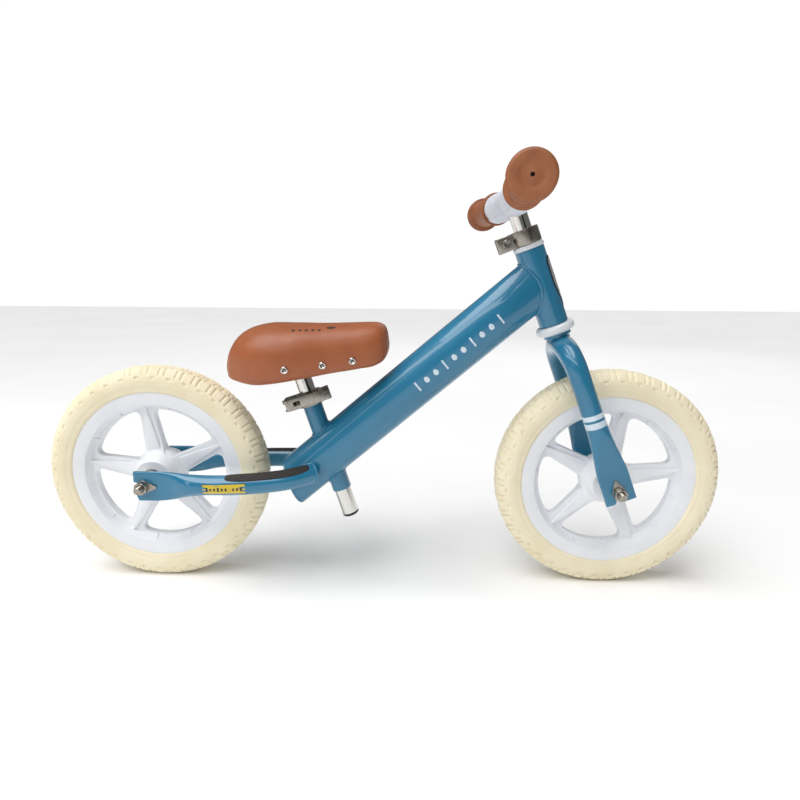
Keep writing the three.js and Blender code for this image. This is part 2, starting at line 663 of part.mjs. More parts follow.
function seatClampLever() {
  const plan = new THREE.Shape();
  plan.moveTo(PIVOT_X, PIVOT_Y - CAM_RADIUS);
  plan.lineTo(8, -22.2);
  plan.quadraticCurveTo(20, -21.5, 29.5, -15.8);
  plan.lineTo(30.5, -12.8);
  plan.lineTo(27, -13.2);
  plan.quadraticCurveTo(18, -19, 8, -19.2);
  plan.lineTo(-14, -19.2);
  plan.lineTo(PIVOT_X + CAM_RADIUS, PIVOT_Y);
  plan.absarc(PIVOT_X, PIVOT_Y, CAM_RADIUS, 0, 1.5 * Math.PI, false);
  const depth = LEVER_HIGH - LEVER_LOW;
  const body = new THREE.ExtrudeGeometry(plan, { depth, bevelEnabled: false, curveSegments: 6 });
  const raised = moved(body, 0, 0, LEVER_LOW + THUMB_TAB);
  const tab = common(raised, block(20.5, 31, -24, -12, LEVER_LOW, LEVER_HIGH + THUMB_TAB));
  const eyeSlot = block(PIVOT_X - 9, PIVOT_X + 6.2, -21, 0, CLAMP_MIDDLE - 4.4, CLAMP_MIDDLE + 4.4);
  const farSlot = block(PIVOT_X - 6, PIVOT_X - 3.6, -30, 0, CLAMP_MIDDLE - 2, CLAMP_MIDDLE + 3);
  const window = block(-18, -9, -30, -15, CLAMP_MIDDLE - 1.5, CLAMP_MIDDLE + 4);
  const pinHole = moved(bore(2.3, 0, 30, 10), PIVOT_X, PIVOT_Y, 0);
  return cut(join(moved(body, 0, 0, LEVER_LOW), tab), eyeSlot, farSlot, window, pinHole);
}
add("seat_clamp_lever", seatClampLever(), CHROME, seating);

// ---- wheels, turned about Y at each axle ----
const RIM_HALF = 17.4;
const TYRE_SEAT_HALF = 13.5; // the tyre's tongue sits in this channel of the rim
const TYRE_SEAT_RADIUS = 101;
const WEB_HALF = 8;
const WINDOW_RADIUS = 87.5; // outer edge of the openings between the spokes
const WHEEL_SIDES = 36;

function polar(radius, degrees) {
  return new THREE.Vector2(radius * Math.cos(rad(degrees)), radius * Math.sin(rad(degrees)));
}

// One rounded opening between two spokes, centred on an angle.
function windowPath(middle) {
  const path = new THREE.Path();
  const corner = (radius, degrees) => polar(radius, middle + degrees);
  const to = (point) => path.lineTo(point.x, point.y);
  const bend = (control, end) => path.quadraticCurveTo(control.x, control.y, end.x, end.y);
  const start = corner(WINDOW_RADIUS, -26);
  path.moveTo(start.x, start.y);
  path.absarc(0, 0, WINDOW_RADIUS, rad(middle - 26), rad(middle + 26), false);
  bend(corner(WINDOW_RADIUS, 31), corner(76, 30));
  to(corner(48, 24));
  bend(corner(36, 17), corner(34, 0));
  bend(corner(36, -17), corner(48, -24));
  to(corner(76, -30));
  bend(corner(WINDOW_RADIUS, -31), start);
  return path;
}

function rim(firstSpoke) {
  const step = 360 / SPOKES;
  const plate = new THREE.Shape(
    Array.from({ length: WHEEL_SIDES }, (_, i) => polar(91, (360 * i) / WHEEL_SIDES)),
  );
  for (let k = 0; k < SPOKES; k++) plate.holes.push(windowPath(firstSpoke + step * (k + 0.5)));
  const options = { depth: 2 * WEB_HALF, bevelEnabled: false, curveSegments: 3 };
  const web = new THREE.ExtrudeGeometry(plate, options);
  web.rotateX(Math.PI / 2).translate(0, WEB_HALF, 0);
  const ring = [
    [RIM_RADIUS - 0.4, -RIM_HALF],
    [RIM_RADIUS - 0.4, -TYRE_SEAT_HALF],
    [TYRE_SEAT_RADIUS, -TYRE_SEAT_HALF],
    [TYRE_SEAT_RADIUS, TYRE_SEAT_HALF],
    [RIM_RADIUS - 0.4, TYRE_SEAT_HALF],
    [RIM_RADIUS - 0.4, RIM_HALF],
    [97, RIM_HALF],
    [WINDOW_RADIUS + 1, WEB_HALF + 0.5],
    [WINDOW_RADIUS + 1, -WEB_HALF - 0.5],
    [97, -RIM_HALF],
  ];
  const ribs = Array.from({ length: SPOKES }, (_, k) => {
    const rib = block(12, WINDOW_RADIUS, -WEB_HALF - 2, WEB_HALF + 2, -4.75, 4.75);
    return rib.rotateY(-rad(firstSpoke + step * k));
  });
  const hub = crossRod(HUB_RADIUS, -HUB_HALF, HUB_HALF, 15);
  const axleHole = crossBore(AXLE_RADIUS + 1.5, -HUB_HALF - 5, HUB_HALF + 5, 8);
  const seats = [-1, 1].map((side) => {
    const deep = BEARING_WIDTH + GAP;
    return moved(crossBore(BEARING_RADIUS + GAP, -deep, deep, 16), 0, side * HUB_HALF, 0);
  });
  return cut(join(turned(ring, WHEEL_SIDES), web, hub, ...ribs), axleHole, ...seats);
}

const tyreProfile = [
  [TYRE_SEAT_RADIUS + GAP, -TYRE_SEAT_HALF + GAP],
  [RIM_RADIUS - 0.1, -TYRE_SEAT_HALF + GAP],
  [RIM_RADIUS - 0.1, -RIM_HALF - 0.6],
  [126, -TYRE_HALF_WIDTH],
  [136, -TYRE_HALF_WIDTH + 2.5],
  [142.2, -13.5],
  [WHEEL_RADIUS, -7],
];
const tyreRing = [...tyreProfile, ...[...tyreProfile].reverse().map(([radius, y]) => [radius, -y])];

const WASHER = 1.6; // thickness

// A washer with a pointed tab, which keeps the axle from working out of its slot.
function tabWasher(tabAngle) {
  const plan = new THREE.Shape();
  const touch = polar(8.5, 60);
  plan.moveTo(17.5, 0);
  plan.lineTo(touch.x, touch.y);
  plan.absarc(0, 0, 8.5, rad(60), rad(300), false);
  const disc = new THREE.ExtrudeGeometry(plan, { depth: WASHER, bevelEnabled: false, curveSegments: 6 });
  disc.rotateX(Math.PI / 2).translate(0, WASHER, 0);
  return cut(disc, crossBore(AXLE_RADIUS + GAP, -5, 5, 12)).rotateY(-rad(tabAngle));
}

function wheel(label, centre, firstSpoke, tabAngle) {
  const group = new THREE.Group();
  group.position.copy(centre);
  bike.add(group);
  const part = (name, geometry, finish) => add(label + "_" + name, geometry, finish, group);
  part("rim", rim(firstSpoke), WHITE);
  part("tyre", turned(tyreRing, WHEEL_SIDES), FOAM_TYRE);
  part("axle", crossRod(AXLE_RADIUS, -AXLE_HALF, AXLE_HALF, 16), ZINC);
  const inner = AXLE_RADIUS + GAP;
  const ringOf = (outer, low, high) => [
    [inner, low],
    [outer, low],
    [outer, high],
    [inner, high],
  ];
  const dropoutFace = DROPOUT_Y + DROPOUT_HALF + GAP;
  for (const [name, side] of [["left", 1], ["right", -1]]) {
    const facing = (geometry) => (side > 0 ? geometry : geometry.rotateX(Math.PI));
    const bearing = turned(ringOf(BEARING_RADIUS, HUB_HALF - BEARING_WIDTH, HUB_HALF), 16);
    const spacer = turned(ringOf(8.5, HUB_HALF + GAP, DROPOUT_Y - DROPOUT_HALF - GAP), 12);
    const nut = hexNut(15, 7, inner, dropoutFace + WASHER + GAP);
    const washerLow = side > 0 ? dropoutFace : -dropoutFace - WASHER;
    part("bearing_" + name, facing(bearing), ZINC);
    part("spacer_" + name, facing(spacer), ZINC);
    part("tab_washer_" + name, moved(tabWasher(tabAngle), 0, washerLow, 0), ZINC);
    part("axle_nut_" + name, facing(nut), ZINC);
  }
}
wheel("rear", REAR_AXLE, REAR_SPOKE_ANGLE, 0);
wheel("front", FRONT_AXLE, FRONT_SPOKE_ANGLE, 90 + STEER_LEAN);

export default bike;
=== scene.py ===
"""Looks for a child's balance bike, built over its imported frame.

Sizes are in millimetres and become metres where a mesh is made. X runs forward, Y to the rider's
left and Z up. A place is a pair, (origin, axis): pieces on the steering, seat and main tubes are
drawn upright on that tube's own Z, and lay() turns them into the bike.
"""
import json

import bmesh
import bpy
import numpy as np
from mathutils import Matrix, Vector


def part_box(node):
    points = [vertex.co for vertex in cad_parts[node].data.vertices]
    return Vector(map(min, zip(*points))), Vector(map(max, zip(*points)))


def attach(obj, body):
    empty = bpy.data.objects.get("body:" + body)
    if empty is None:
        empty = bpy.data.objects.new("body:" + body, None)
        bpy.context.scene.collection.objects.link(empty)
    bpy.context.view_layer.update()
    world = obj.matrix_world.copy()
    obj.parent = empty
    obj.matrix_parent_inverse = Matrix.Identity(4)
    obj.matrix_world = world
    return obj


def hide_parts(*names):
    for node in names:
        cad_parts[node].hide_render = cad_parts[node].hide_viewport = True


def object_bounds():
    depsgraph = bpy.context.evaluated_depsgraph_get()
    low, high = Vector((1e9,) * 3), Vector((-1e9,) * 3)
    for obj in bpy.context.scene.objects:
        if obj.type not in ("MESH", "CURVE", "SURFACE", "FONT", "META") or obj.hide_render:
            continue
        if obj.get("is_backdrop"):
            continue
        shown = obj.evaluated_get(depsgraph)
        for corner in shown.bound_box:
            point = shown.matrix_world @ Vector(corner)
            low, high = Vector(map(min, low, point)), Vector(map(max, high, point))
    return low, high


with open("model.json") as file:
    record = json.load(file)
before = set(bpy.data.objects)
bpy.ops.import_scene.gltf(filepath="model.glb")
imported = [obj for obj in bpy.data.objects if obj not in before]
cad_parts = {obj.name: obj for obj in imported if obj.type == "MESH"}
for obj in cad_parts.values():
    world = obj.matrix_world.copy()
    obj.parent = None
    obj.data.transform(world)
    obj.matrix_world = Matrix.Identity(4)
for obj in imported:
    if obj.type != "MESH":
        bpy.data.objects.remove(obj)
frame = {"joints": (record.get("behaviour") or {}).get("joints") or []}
CAD_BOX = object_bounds()
MM = 0.001
TURN = 2 * np.pi
ACROSS = np.array([0.0, 1.0, 0.0])
UP = np.array([0.0, 0.0, 1.0])
AHEAD = np.array([1.0, 0.0, 0.0])
SIDES = {"left": 1, "right": -1}


# ---------------------------------------------------------------- places, from the frame
def middle(node):
    """The middle of a CAD node's box, in millimetres."""
    low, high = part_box(node)
    return (np.array(low) + np.array(high)) / 2 / MM


def leaning(degrees):
    """The direction that leans back from vertical by an angle: (-sin, 0, cos)."""
    angle = np.radians(degrees)
    return np.array([-np.sin(angle), 0.0, np.cos(angle)])


def lay(points, place):
    """Upright points turned onto a place: origin + x·X + y·Y + z·Z, where Z is its axis and X is Y × Z."""
    origin, axis = place
    return origin + points @ np.array([np.cross(ACROSS, axis), ACROSS, axis])


def upright(points, place):
    """The opposite of lay(): points of the bike in the place's own upright frame."""
    origin, axis = place
    return (points - origin) @ np.array([np.cross(ACROSS, axis), ACROSS, axis]).T


JOINTS = {joint["name"]: joint for joint in frame["joints"]}
REAR_AXLE = middle("rear_axle")
FRONT_AXLE = middle("front_axle")
STEERING = (FRONT_AXLE, np.array(JOINTS["steering"]["axis"]))
SEAT_TOP = REAR_AXLE + np.array([206.0, 0.0, 94.5])
SEATING = (SEAT_TOP, np.array(JOINTS["seat_height"]["axis"]))
MAIN_REAR = REAR_AXLE + np.array([178.0, 0.0, -10.3])
MAIN = (MAIN_REAR, leaning(-49.75))
SADDLE = (SEAT_TOP + np.array([-1.5, 0.0, 44.5]), leaning(8.5))

TUBE = 25.4  # fork legs, stays, seat tube and steerer
POST = 22.2
WALL = 1.5
GAP = 0.3
HEAD_RADIUS = 18.0
HEAD_LOW, HEAD_HIGH = 218.0, 315.0
STEERER_HIGH = 339.0
BAR_HEIGHT = 376.0
BAR_HALF, BAR_SWEEP, BAR_STRAIGHT = 185.0, 15.0, 40.0
PAD_HALF, PAD_RADIUS = 93.0, 19.5
DROPOUT_Y, DROPOUT_HEIGHT, DROPOUT_THICK = 54.0, 38.0, 6.0
RIM_RADIUS, RIM_HALF = 113.0, 17.4
SPOKES = 5
FIRST_SPOKE = {"rear": 98.0, "front": 8.0}  # degrees


# ---------------------------------------------------------------- curves and outlines
def through(knots, distance, keys=3):
    """Rows of a smooth curve through knots at given distances, which count in the first `keys` columns:
    cubic Hermite
    pieces with the neighbours' slopes."""
    knots = np.array(knots, float)
    at = np.concatenate([[0.0], np.cumsum(np.linalg.norm(np.diff(knots[:, :keys], axis=0), axis=1))])
    slope = np.gradient(knots, at, axis=0)
    distance = np.asarray(distance, float)
    i = np.clip(np.searchsorted(at, distance, "right") - 1, 0, len(at) - 2)
    step = (at[i + 1] - at[i])[..., None]
    t = (distance - at[i])[..., None] / step
    start = (2 * t**3 - 3 * t**2 + 1) * knots[i] + (t**3 - 2 * t**2 + t) * step * slope[i]
    end = (3 * t**2 - 2 * t**3) * knots[i + 1] + (t**3 - t**2) * step * slope[i + 1]
    return start + end


def length_of(knots):
    """The distance along the straight lines between knots."""
    return np.linalg.norm(np.diff(np.array(knots, float)[:, :3], axis=0), axis=1).sum()


def rounded(corners, radius, steps=4):
    """Corners turned to bends: each is a quadratic curve from `radius` before the corner to `radius` after
    it."""
    corners = np.array(corners, float)
    before = np.roll(corners, 1, 0) - corners
    after = np.roll(corners, -1, 0) - corners
    share = lambda edge: np.minimum(radius / np.maximum(np.linalg.norm(edge, axis=1, keepdims=True), 1e-9),
        0.49)
    first = (corners + before * share(before))[:, None]
    last = (corners + after * share(after))[:, None]
    t = np.linspace(0, 1, steps + 1)[None, :, None]
    bends = (1 - t) ** 2 * first + 2 * t * (1 - t) * corners[:, None] + t**2 * last
    return bends.reshape(-1, corners.shape[1])


def arc(radius, start, end, count, centre=(0.0, 0.0)):
    """Points on an arc between two angles in degrees."""
    angle = np.radians(np.linspace(start, end, count))
    return np.stack([centre[0] + radius * np.cos(angle), centre[1] + radius * np.sin(angle)], -1)


def bend(value, power):
    """sign(v)·|v| to a power: one part of a superellipse."""
    return np.sign(value) * np.abs(value) ** power


def ease(value):
    """A smooth step from 0 to 1: 3v² - 2v³, clamped."""
    value = np.clip(value, 0, 1)
    return value * value * (3 - 2 * value)


# ---------------------------------------------------------------- surfaces
def turned(profile, origin, axis, sides=64):
    """A profile of [radius, distance, hexagon] carried round an axis. With hexagon 1 the radius is a
    hexagon's corner
    radius: r·cos 30° / cos((a mod 60°) - 30°)."""
    profile = np.array(profile, float)
    origin, axis = np.array(origin, float), np.array(axis, float)
    first = np.cross(ACROSS, axis) if abs(axis @ ACROSS) < 0.9 else np.cross(axis, AHEAD)
    first = first / np.linalg.norm(first)
    second = np.cross(axis, first)
    angle = np.arange(sides) / sides * TURN
    sixth = np.cos(np.pi / 6) / np.cos(angle % (np.pi / 3) - np.pi / 6)
    share = profile[:, 2] if profile.shape[1] > 2 else np.zeros(len(profile))
    radius = profile[:, 0] * (1 - share + share * sixth[:, None])
    ring = np.cos(angle)[:, None] * first + np.sin(angle)[:, None] * second
    return origin + radius[..., None] * ring[:, None] + profile[:, 1][None, :, None] * axis


def tube_along(knots, up):
    """A surface f(distance, angle, grow) round a curve through knots [x, y, z, tall, wide, square]: the point
    plus tall·cos(a)^(2/square) towards `up` plus wide·sin(a)^(2/square) across it."""

    def surface(distance, angle, grow=0.0):
        distance, angle = np.broadcast_arrays(np.asarray(distance, float), angle)
        here = through(knots, distance)
        along = through(knots, distance + 0.5)[..., :3] - through(knots, distance - 0.5)[..., :3]
        along = along / np.linalg.norm(along, axis=-1, keepdims=True)
        tall_way = up - (along @ up)[..., None] * along
        tall_way = tall_way / np.linalg.norm(tall_way, axis=-1, keepdims=True)
        wide_way = np.cross(tall_way, along)
        power = 2 / here[..., 5]
        tall = (here[..., 3] / 2 + grow) * bend(np.cos(angle), power)
        wide = (here[..., 4] / 2 + grow) * bend(np.sin(angle), power)
        return here[..., :3] + tall[..., None] * tall_way + wide[..., None] * wide_way

    return surface


def round_tube(place, radius):
    """A surface f(height, angle, grow) round a place's axis; angle 0 looks ahead."""

    def surface(height, angle, grow=0.0):
        height, angle = np.broadcast_arrays(np.asarray(height, float), angle)
        reach = radius + grow
        return lay(np.stack([reach * np.cos(angle), reach * np.sin(angle), height], -1), place)

    return surface


def around(count=48):
    """Angles once round, without the last."""
    return np.arange(count) / count * TURN


def closed_ends(grid):
    """Rows of a tube with both ends closed: each end ring, half of it, and its middle."""
    first, last = grid[:1], grid[-1:]
    near, far = first.mean(1, keepdims=True), last.mean(1, keepdims=True)
    point = lambda mid: np.repeat(mid, grid.shape[1], 1)
    return np.vstack([point(near), (first + near) / 2, grid, (last + far) / 2, point(far)])


def meeting(surface, angle, measure, outside, inside):
    """The distance, for each angle, where a surface crosses measure = 0, halved in 40 times between two
    bounds."""
    low, high = np.full(angle.shape, float(outside)), np.full(angle.shape, float(inside))
    for _ in range(40):
        half = (low + high) / 2
        out = measure(surface(half, angle)) > 0
        low, high = np.where(out, half, low), np.where(out, high, half)
    return (low + high) / 2


def plate(outline, low, high, edge, put=None):
    """A flat shape between two heights: its outline inset by edge·(1 - sin t) as it rises by edge·(1 - cos
    t)."""
    outline = np.array(outline, float)
    keep = np.linalg.norm(outline - np.roll(outline, 1, 0), axis=1) > 1e-4
    outline = outline[keep]
    ahead = np.roll(outline, -1, 0) - np.roll(outline, 1, 0)
    area = (outline[:, 0] * np.roll(outline[:, 1], -1) - np.roll(outline[:, 0], -1) * outline[:, 1]).sum()
    normal = np.stack([ahead[:, 1], -ahead[:, 0]], -1) * np.sign(area)
    normal = normal / np.maximum(np.linalg.norm(normal, axis=1, keepdims=True), 1e-9)
    t = np.linspace(0, np.pi / 2, 4)
    inset = edge * (1 - np.sin(t))
    height = edge * (1 - np.cos(t))
    inset = np.concatenate([inset, inset[::-1]])
    height = np.concatenate([low + height, high - height[::-1]])
    flat = outline[None] - normal[None] * inset[:, None, None]
    rings = np.concatenate([flat, np.broadcast_to(height[:, None, None], flat.shape[:2] + (1,))], -1)
    if put is not None:
        rings = put(rings)
    return (rings, False, True), [rings[0], rings[-1][::-1]]


def on(place):
    """Turns upright points onto a place, for plate()."""
    return lambda points: lay(points, place)


def across(origin, ahead, above):
    """Lays a plan in the plane of `ahead` and `above`, with its heights along Y: origin + x·ahead +
    y·above + z·Y."""
    return lambda points: origin + points @ np.array([ahead, above, ACROSS])


def film(surface, centre, size, thick, square=2.0, rows=8, count=64, base=-0.4):
    """A thin film on a surface, with a superellipse outline: distance and angle are centre +
    size/2·ρ·(cos, sin)^(2/square),
    and it stands out by thick·sqrt(1 - ρ^8), closed underneath."""
    angle = around(count)
    share = np.sin(np.linspace(0, 1, rows) * np.pi / 2)
    out = np.concatenate([share, share[::-1]])[:, None]
    proud = np.concatenate([base + (thick - base) * np.sqrt(1 - share**8), np.full(rows, base)])[:, None]
    across = centre[0] + size[0] / 2 * out * bend(np.cos(angle), 2 / square)
    round_it = centre[1] + size[1] / 2 * out * bend(np.sin(angle), 2 / square)
    return surface(across, round_it, np.broadcast_to(proud, across.shape)), False, True


# ---------------------------------------------------------------- meshes
def mesh_of(name, sheets, fills=(), crease=38.0):
    """One mesh from sheets (points[u, v], wraps in u, wraps in v) of quads and from flat fills, each one
    ring of points."""
    points, faces, start = [], [], 0
    for grid, wrap_u, wrap_v in sheets:
        rows, columns = grid.shape[:2]
        index = start + np.arange(rows * columns).reshape(rows, columns)
        index = np.vstack([index, index[:1]]) if wrap_u else index
        index = np.hstack([index, index[:, :1]]) if wrap_v else index
        quads = np.stack([index[:-1, :-1], index[1:, :-1], index[1:, 1:], index[:-1, 1:]], -1)
        faces += quads.reshape(-1, 4).tolist()
        points.append(grid.reshape(-1, 3))
        start += rows * columns
    for ring in fills:
        faces.append(list(range(start, start + len(ring))))
        points.append(ring)
        start += len(ring)
    mesh = bpy.data.meshes.new(name)
    mesh.from_pydata(np.vstack(points) * MM, [], faces)
    work = bmesh.new()
    work.from_mesh(mesh)
    bmesh.ops.remove_doubles(work, verts=work.verts, dist=2e-6)
    bmesh.ops.dissolve_degenerate(work, edges=work.edges, dist=1e-7)
    bmesh.ops.recalc_face_normals(work, faces=work.faces)
    work.to_mesh(mesh)
    work.free()
    soften(mesh, crease)
    return mesh


def soften(mesh, crease):
    """Smooth shading, with edges sharper than the crease angle left sharp."""
    mesh.polygons.foreach_set("use_smooth", np.ones(len(mesh.polygons), bool))
    mesh.set_sharp_from_angle(angle=np.radians(crease))


def piece(name, sheets, finish, body, replaces=(), fills=(), crease=38.0):
    """A piece of the bike: its mesh, its finish, the body it rides on and the CAD nodes it stands for."""
    made = bpy.data.objects.new(name, mesh_of(name, sheets, fills, crease))
    bpy.context.scene.collection.objects.link(made)
    made.data.materials.append(finish)
    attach(made, body)
    if replaces:
        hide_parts(*replaces)
    return made


def cut(made, *tools, crease=38.0):
    """Takes closed shapes, each (sheets, fills), out of a piece."""
    cutters = []
    for sheets, fills in tools:
        cutter = bpy.data.objects.new("cutter", mesh_of("cutter", sheets, fills))
        bpy.context.scene.collection.objects.link(cutter)
        difference = made.modifiers.new("cut", "BOOLEAN")
        difference.operation = "DIFFERENCE"
        difference.solver = "EXACT"
        difference.object = cutter
        cutters.append(cutter)
    depsgraph = bpy.context.evaluated_depsgraph_get()
    result = bpy.data.meshes.new_from_object(made.evaluated_get(depsgraph))
    made.modifiers.clear()
    made.data = result
    soften(result, crease)
    for cutter in cutters:
        bpy.data.objects.remove(cutter)
    return made


def plate_tool(outline, low, high, put):
    """A plain plate with square edges, for cut()."""
    outline = np.array(outline, float)
    level = lambda z: put(np.column_stack([outline, np.full(len(outline), z)]))
    rings = np.array([level(low), level(high)])
    return [(rings, False, True)], [rings[0], rings[1][::-1]]


def box_tool(low, high, put):
    """A plain box between two corners, for cut()."""
    outline = [(low[0], low[1]), (high[0], low[1]), (high[0], high[1]), (low[0], high[1])]
    return plate_tool(outline, low[2], high[2], put)


# ---------------------------------------------------------------- finishes
def colour(code):
    """An sRGB hex value as the linear colour that a shader takes."""
    value = np.array([int(code[i : i + 2], 16) for i in (1, 3, 5)]) / 255
    linear = np.where(value <= 0.04045, value / 12.92, ((value + 0.055) / 1.055) ** 2.4)
    return (*linear.tolist(), 1.0)


def add(tree, kind, settings=(), links=()):
    """One shader node: settings go to the sockets of that name or number, or else to the node itself."""
    made = tree.nodes.new("ShaderNode" + kind)
    for key, value in dict(settings).items():
        if isinstance(key, int) or key in made.inputs:
            made.inputs[key].default_value = value
        else:
            setattr(made, key, value)
    for key, source in dict(links).items():
        tree.links.new(source, made.inputs[key])
    return made


def started(name, **settings):
    """A new material: its node tree, its Principled shader and its Object coordinates."""
    material = bpy.data.materials.new(name)
    material.use_nodes = True
    tree = material.node_tree
    shader = tree.nodes["Principled BSDF"]
    for key, value in settings.items():
        shader.inputs[key.replace("_", " ")].default_value = value
    where = add(tree, "TexCoord").outputs["Object"]
    return material, tree, shader, where


def mottled(tree, where, dark, light, millimetres, detail=3.0):
    """A colour that drifts between two hex values over patches of a real size."""
    noise = add(tree, "TexNoise", {"Scale": 1000 / millimetres, "Detail": detail}, {"Vector": where})
    ramp = add(tree, "ValToRGB", links={"Fac": noise.outputs["Fac"]})
    ramp.color_ramp.elements[0].position = 0.3
    ramp.color_ramp.elements[1].position = 0.7
    ramp.color_ramp.elements[0].color = colour(dark)
    ramp.color_ramp.elements[1].color = colour(light)
    return ramp.outputs["Color"]


def spread(tree, source, low, high):
    """A value from 0.25 to 0.75 spread between two others."""
    settings = {"From Min": 0.25, "From Max": 0.75, "To Min": low, "To Max": high}
    return add(tree, "MapRange", settings, {"Value": source}).outputs["Result"]


def raised(tree, shader, height, depth_mm, strength=1.0, before=None):
    """A bump of a real depth on the shader's normal."""
    links = {"Height": height}
    if before is not None:
        links["Normal"] = before
    made = add(tree, "Bump", {"Strength": strength, "Distance": depth_mm * MM}, links)
    tree.links.new(made.outputs["Normal"], shader.inputs["Normal"])
    return made.outputs["Normal"]


def powder_coat():
    """Powder-coated steel under clear lacquer: an even teal with a faint orange peel about 2 mm across."""
    material, tree, shader, where = started(
        "powder_coat_teal", Roughness=0.32, Coat_Weight=0.85, Coat_Roughness=0.025, IOR=1.45
    )
    tree.links.new(mottled(tree, where, "#1F7397", "#257B9F", 60), shader.inputs["Base Color"])
    peel = add(tree, "TexNoise", {"Scale": 450.0, "Detail": 2.0}, {"Vector": where})
    raised(tree, shader, peel.outputs["Fac"], 0.02, 0.35)
    return material


def chrome_plate():
    """Chrome-plated steel tube: near mirror, with fine polishing lines and faint cloudy patches."""
    material, tree, shader, where = started("chrome_plated_steel", Metallic=1.0)
    shader.inputs["Base Color"].default_value = colour("#DAD9D4")
    cloud = add(tree, "TexNoise", {"Scale": 60.0, "Detail": 5.0}, {"Vector": where})
    tree.links.new(spread(tree, cloud.outputs["Fac"], 0.06, 0.16), shader.inputs["Roughness"])
    return material


def zinc_plate():
    """Bright zinc-plated steel: a soft grey shine, blotchy as plating is, with worn brighter patches."""
    material, tree, shader, where = started("zinc_plated_steel", Metallic=1.0)
    tree.links.new(mottled(tree, where, "#9A958C", "#ADA89F", 6, 4.0), shader.inputs["Base Color"])
    cloud = add(tree, "TexNoise", {"Scale": 400.0, "Detail": 5.0}, {"Vector": where})
    tree.links.new(spread(tree, cloud.outputs["Fac"], 0.24, 0.36), shader.inputs["Roughness"])
    raised(tree, shader, cloud.outputs["Fac"], 0.02, 0.2)
    return material


def moulded_white(name, dark, light, roughness):
    """Injection-moulded nylon: cool white, satin, with a fine spark-eroded texture and slight flow marks."""
    material, tree, shader, where = started(name, Roughness=roughness, IOR=1.5)
    shader.inputs["Subsurface Weight"].default_value = 0.08
    shader.inputs["Subsurface Radius"].default_value = (0.003, 0.003, 0.003)
    tree.links.new(mottled(tree, where, dark, light, 40), shader.inputs["Base Color"])
    grain = add(tree, "TexNoise", {"Scale": 900.0, "Detail": 3.0}, {"Vector": where})
    raised(tree, shader, grain.outputs["Fac"], 0.04, 0.4)
    return material


def foam_rubber():
    """Moulded closed-cell foam: matte cream, slightly mottled, with fine pores about 0.8 mm across."""
    material, tree, shader, where = started("cream_foam", Roughness=0.72, IOR=1.45)
    tree.links.new(mottled(tree, where, "#F3E6C4", "#F9EFD2", 30, 3.0), shader.inputs["Base Color"])
    pores = add(tree, "TexVoronoi", {"Scale": 900.0}, {"Vector": where})
    raised(tree, shader, pores.outputs["Distance"], 0.06, 0.35)
    return material


def saddle_leather():
    """Coated artificial leather: warm brown, satin, with a pebble grain about 1.6 mm across and softer
    folds."""
    material, tree, shader, where = started("artificial_leather_brown", IOR=1.5)
    tree.links.new(mottled(tree, where, "#A05934", "#A8603A", 18, 3.0), shader.inputs["Base Color"])
    grain = add(tree, "TexVoronoi", {"Scale": 620.0, "Randomness": 0.9}, {"Vector": where})
    fold = add(tree, "TexNoise", {"Scale": 150.0, "Detail": 4.0}, {"Vector": where})
    tree.links.new(spread(tree, fold.outputs["Fac"], 0.36, 0.48), shader.inputs["Roughness"])
    first = raised(tree, shader, grain.outputs["Distance"], 0.08, 0.4)
    raised(tree, shader, fold.outputs["Fac"], 0.15, 0.3, first)
    return material


def grip_rubber():
    """Moulded soft rubber: dull brown with a dusty bloom and a fine matte texture."""
    material, tree, shader, where = started("moulded_rubber_brown", Roughness=0.55, IOR=1.52)
    tree.links.new(mottled(tree, where, "#925633", "#9F613B", 12, 4.0), shader.inputs["Base Color"])
    grain = add(tree, "TexNoise", {"Scale": 1100.0, "Detail": 3.0}, {"Vector": where})
    raised(tree, shader, grain.outputs["Fac"], 0.06, 0.5)
    return material


def wrap_foam():
    """Soft foam wrap with a smooth skin: cool white with shallow dents and a fine cell texture."""
    material, tree, shader, where = started("foam_wrap_white", Roughness=0.6, IOR=1.45)
    shader.inputs["Subsurface Weight"].default_value = 0.15
    shader.inputs["Subsurface Radius"].default_value = (0.006, 0.006, 0.006)
    tree.links.new(mottled(tree, where, "#D6D9E4", "#E4E6EE", 20), shader.inputs["Base Color"])
    cells = add(tree, "TexVoronoi", {"Scale": 700.0}, {"Vector": where})
    dents = add(tree, "TexNoise", {"Scale": 45.0, "Detail": 3.0}, {"Vector": where})
    first = raised(tree, shader, cells.outputs["Distance"], 0.08, 0.3)
    raised(tree, shader, dents.outputs["Fac"], 0.8, 0.4, first)
    return material


def plain_finish(name, dark, light, roughness, size_mm, scale, depth_mm, **settings):
    """A moulded, printed or grit-coated finish: two close colours in patches and a bump of one grain."""
    material, tree, shader, where = started(name, Roughness=roughness, **settings)
    tree.links.new(mottled(tree, where, dark, light, size_mm), shader.inputs["Base Color"])
    grain = add(tree, "TexNoise", {"Scale": scale, "Detail": 4.0}, {"Vector": where})
    raised(tree, shader, grain.outputs["Fac"], depth_mm, 0.6)
    return material


TEAL = powder_coat()
CHROME = chrome_plate()
ZINC = zinc_plate()
RIM_WHITE = moulded_white("nylon_white", "#ECEEF3", "#F4F5F8", 0.38)
CUP_WHITE = moulded_white("nylon_ring_white", "#DDE2E6", "#E8ECEF", 0.32)
CREAM = foam_rubber()
LEATHER = saddle_leather()
RUBBER = grip_rubber()
WRAP = wrap_foam()
# Moulded black plastic: near black, half matt, so plugs and the pan read as plain plastic.
BLACK = plain_finish("moulded_plastic_black", "#141516", "#1D1E20", 0.5, 10, 900.0, 0.04)
# Grit-coated tape: warm black and fully dull, with a grain coarse enough to look rough underfoot.
TAPE = plain_finish("grip_tape_black", "#2A2827", "#3A3735", 0.8, 3, 1600.0, 0.25)
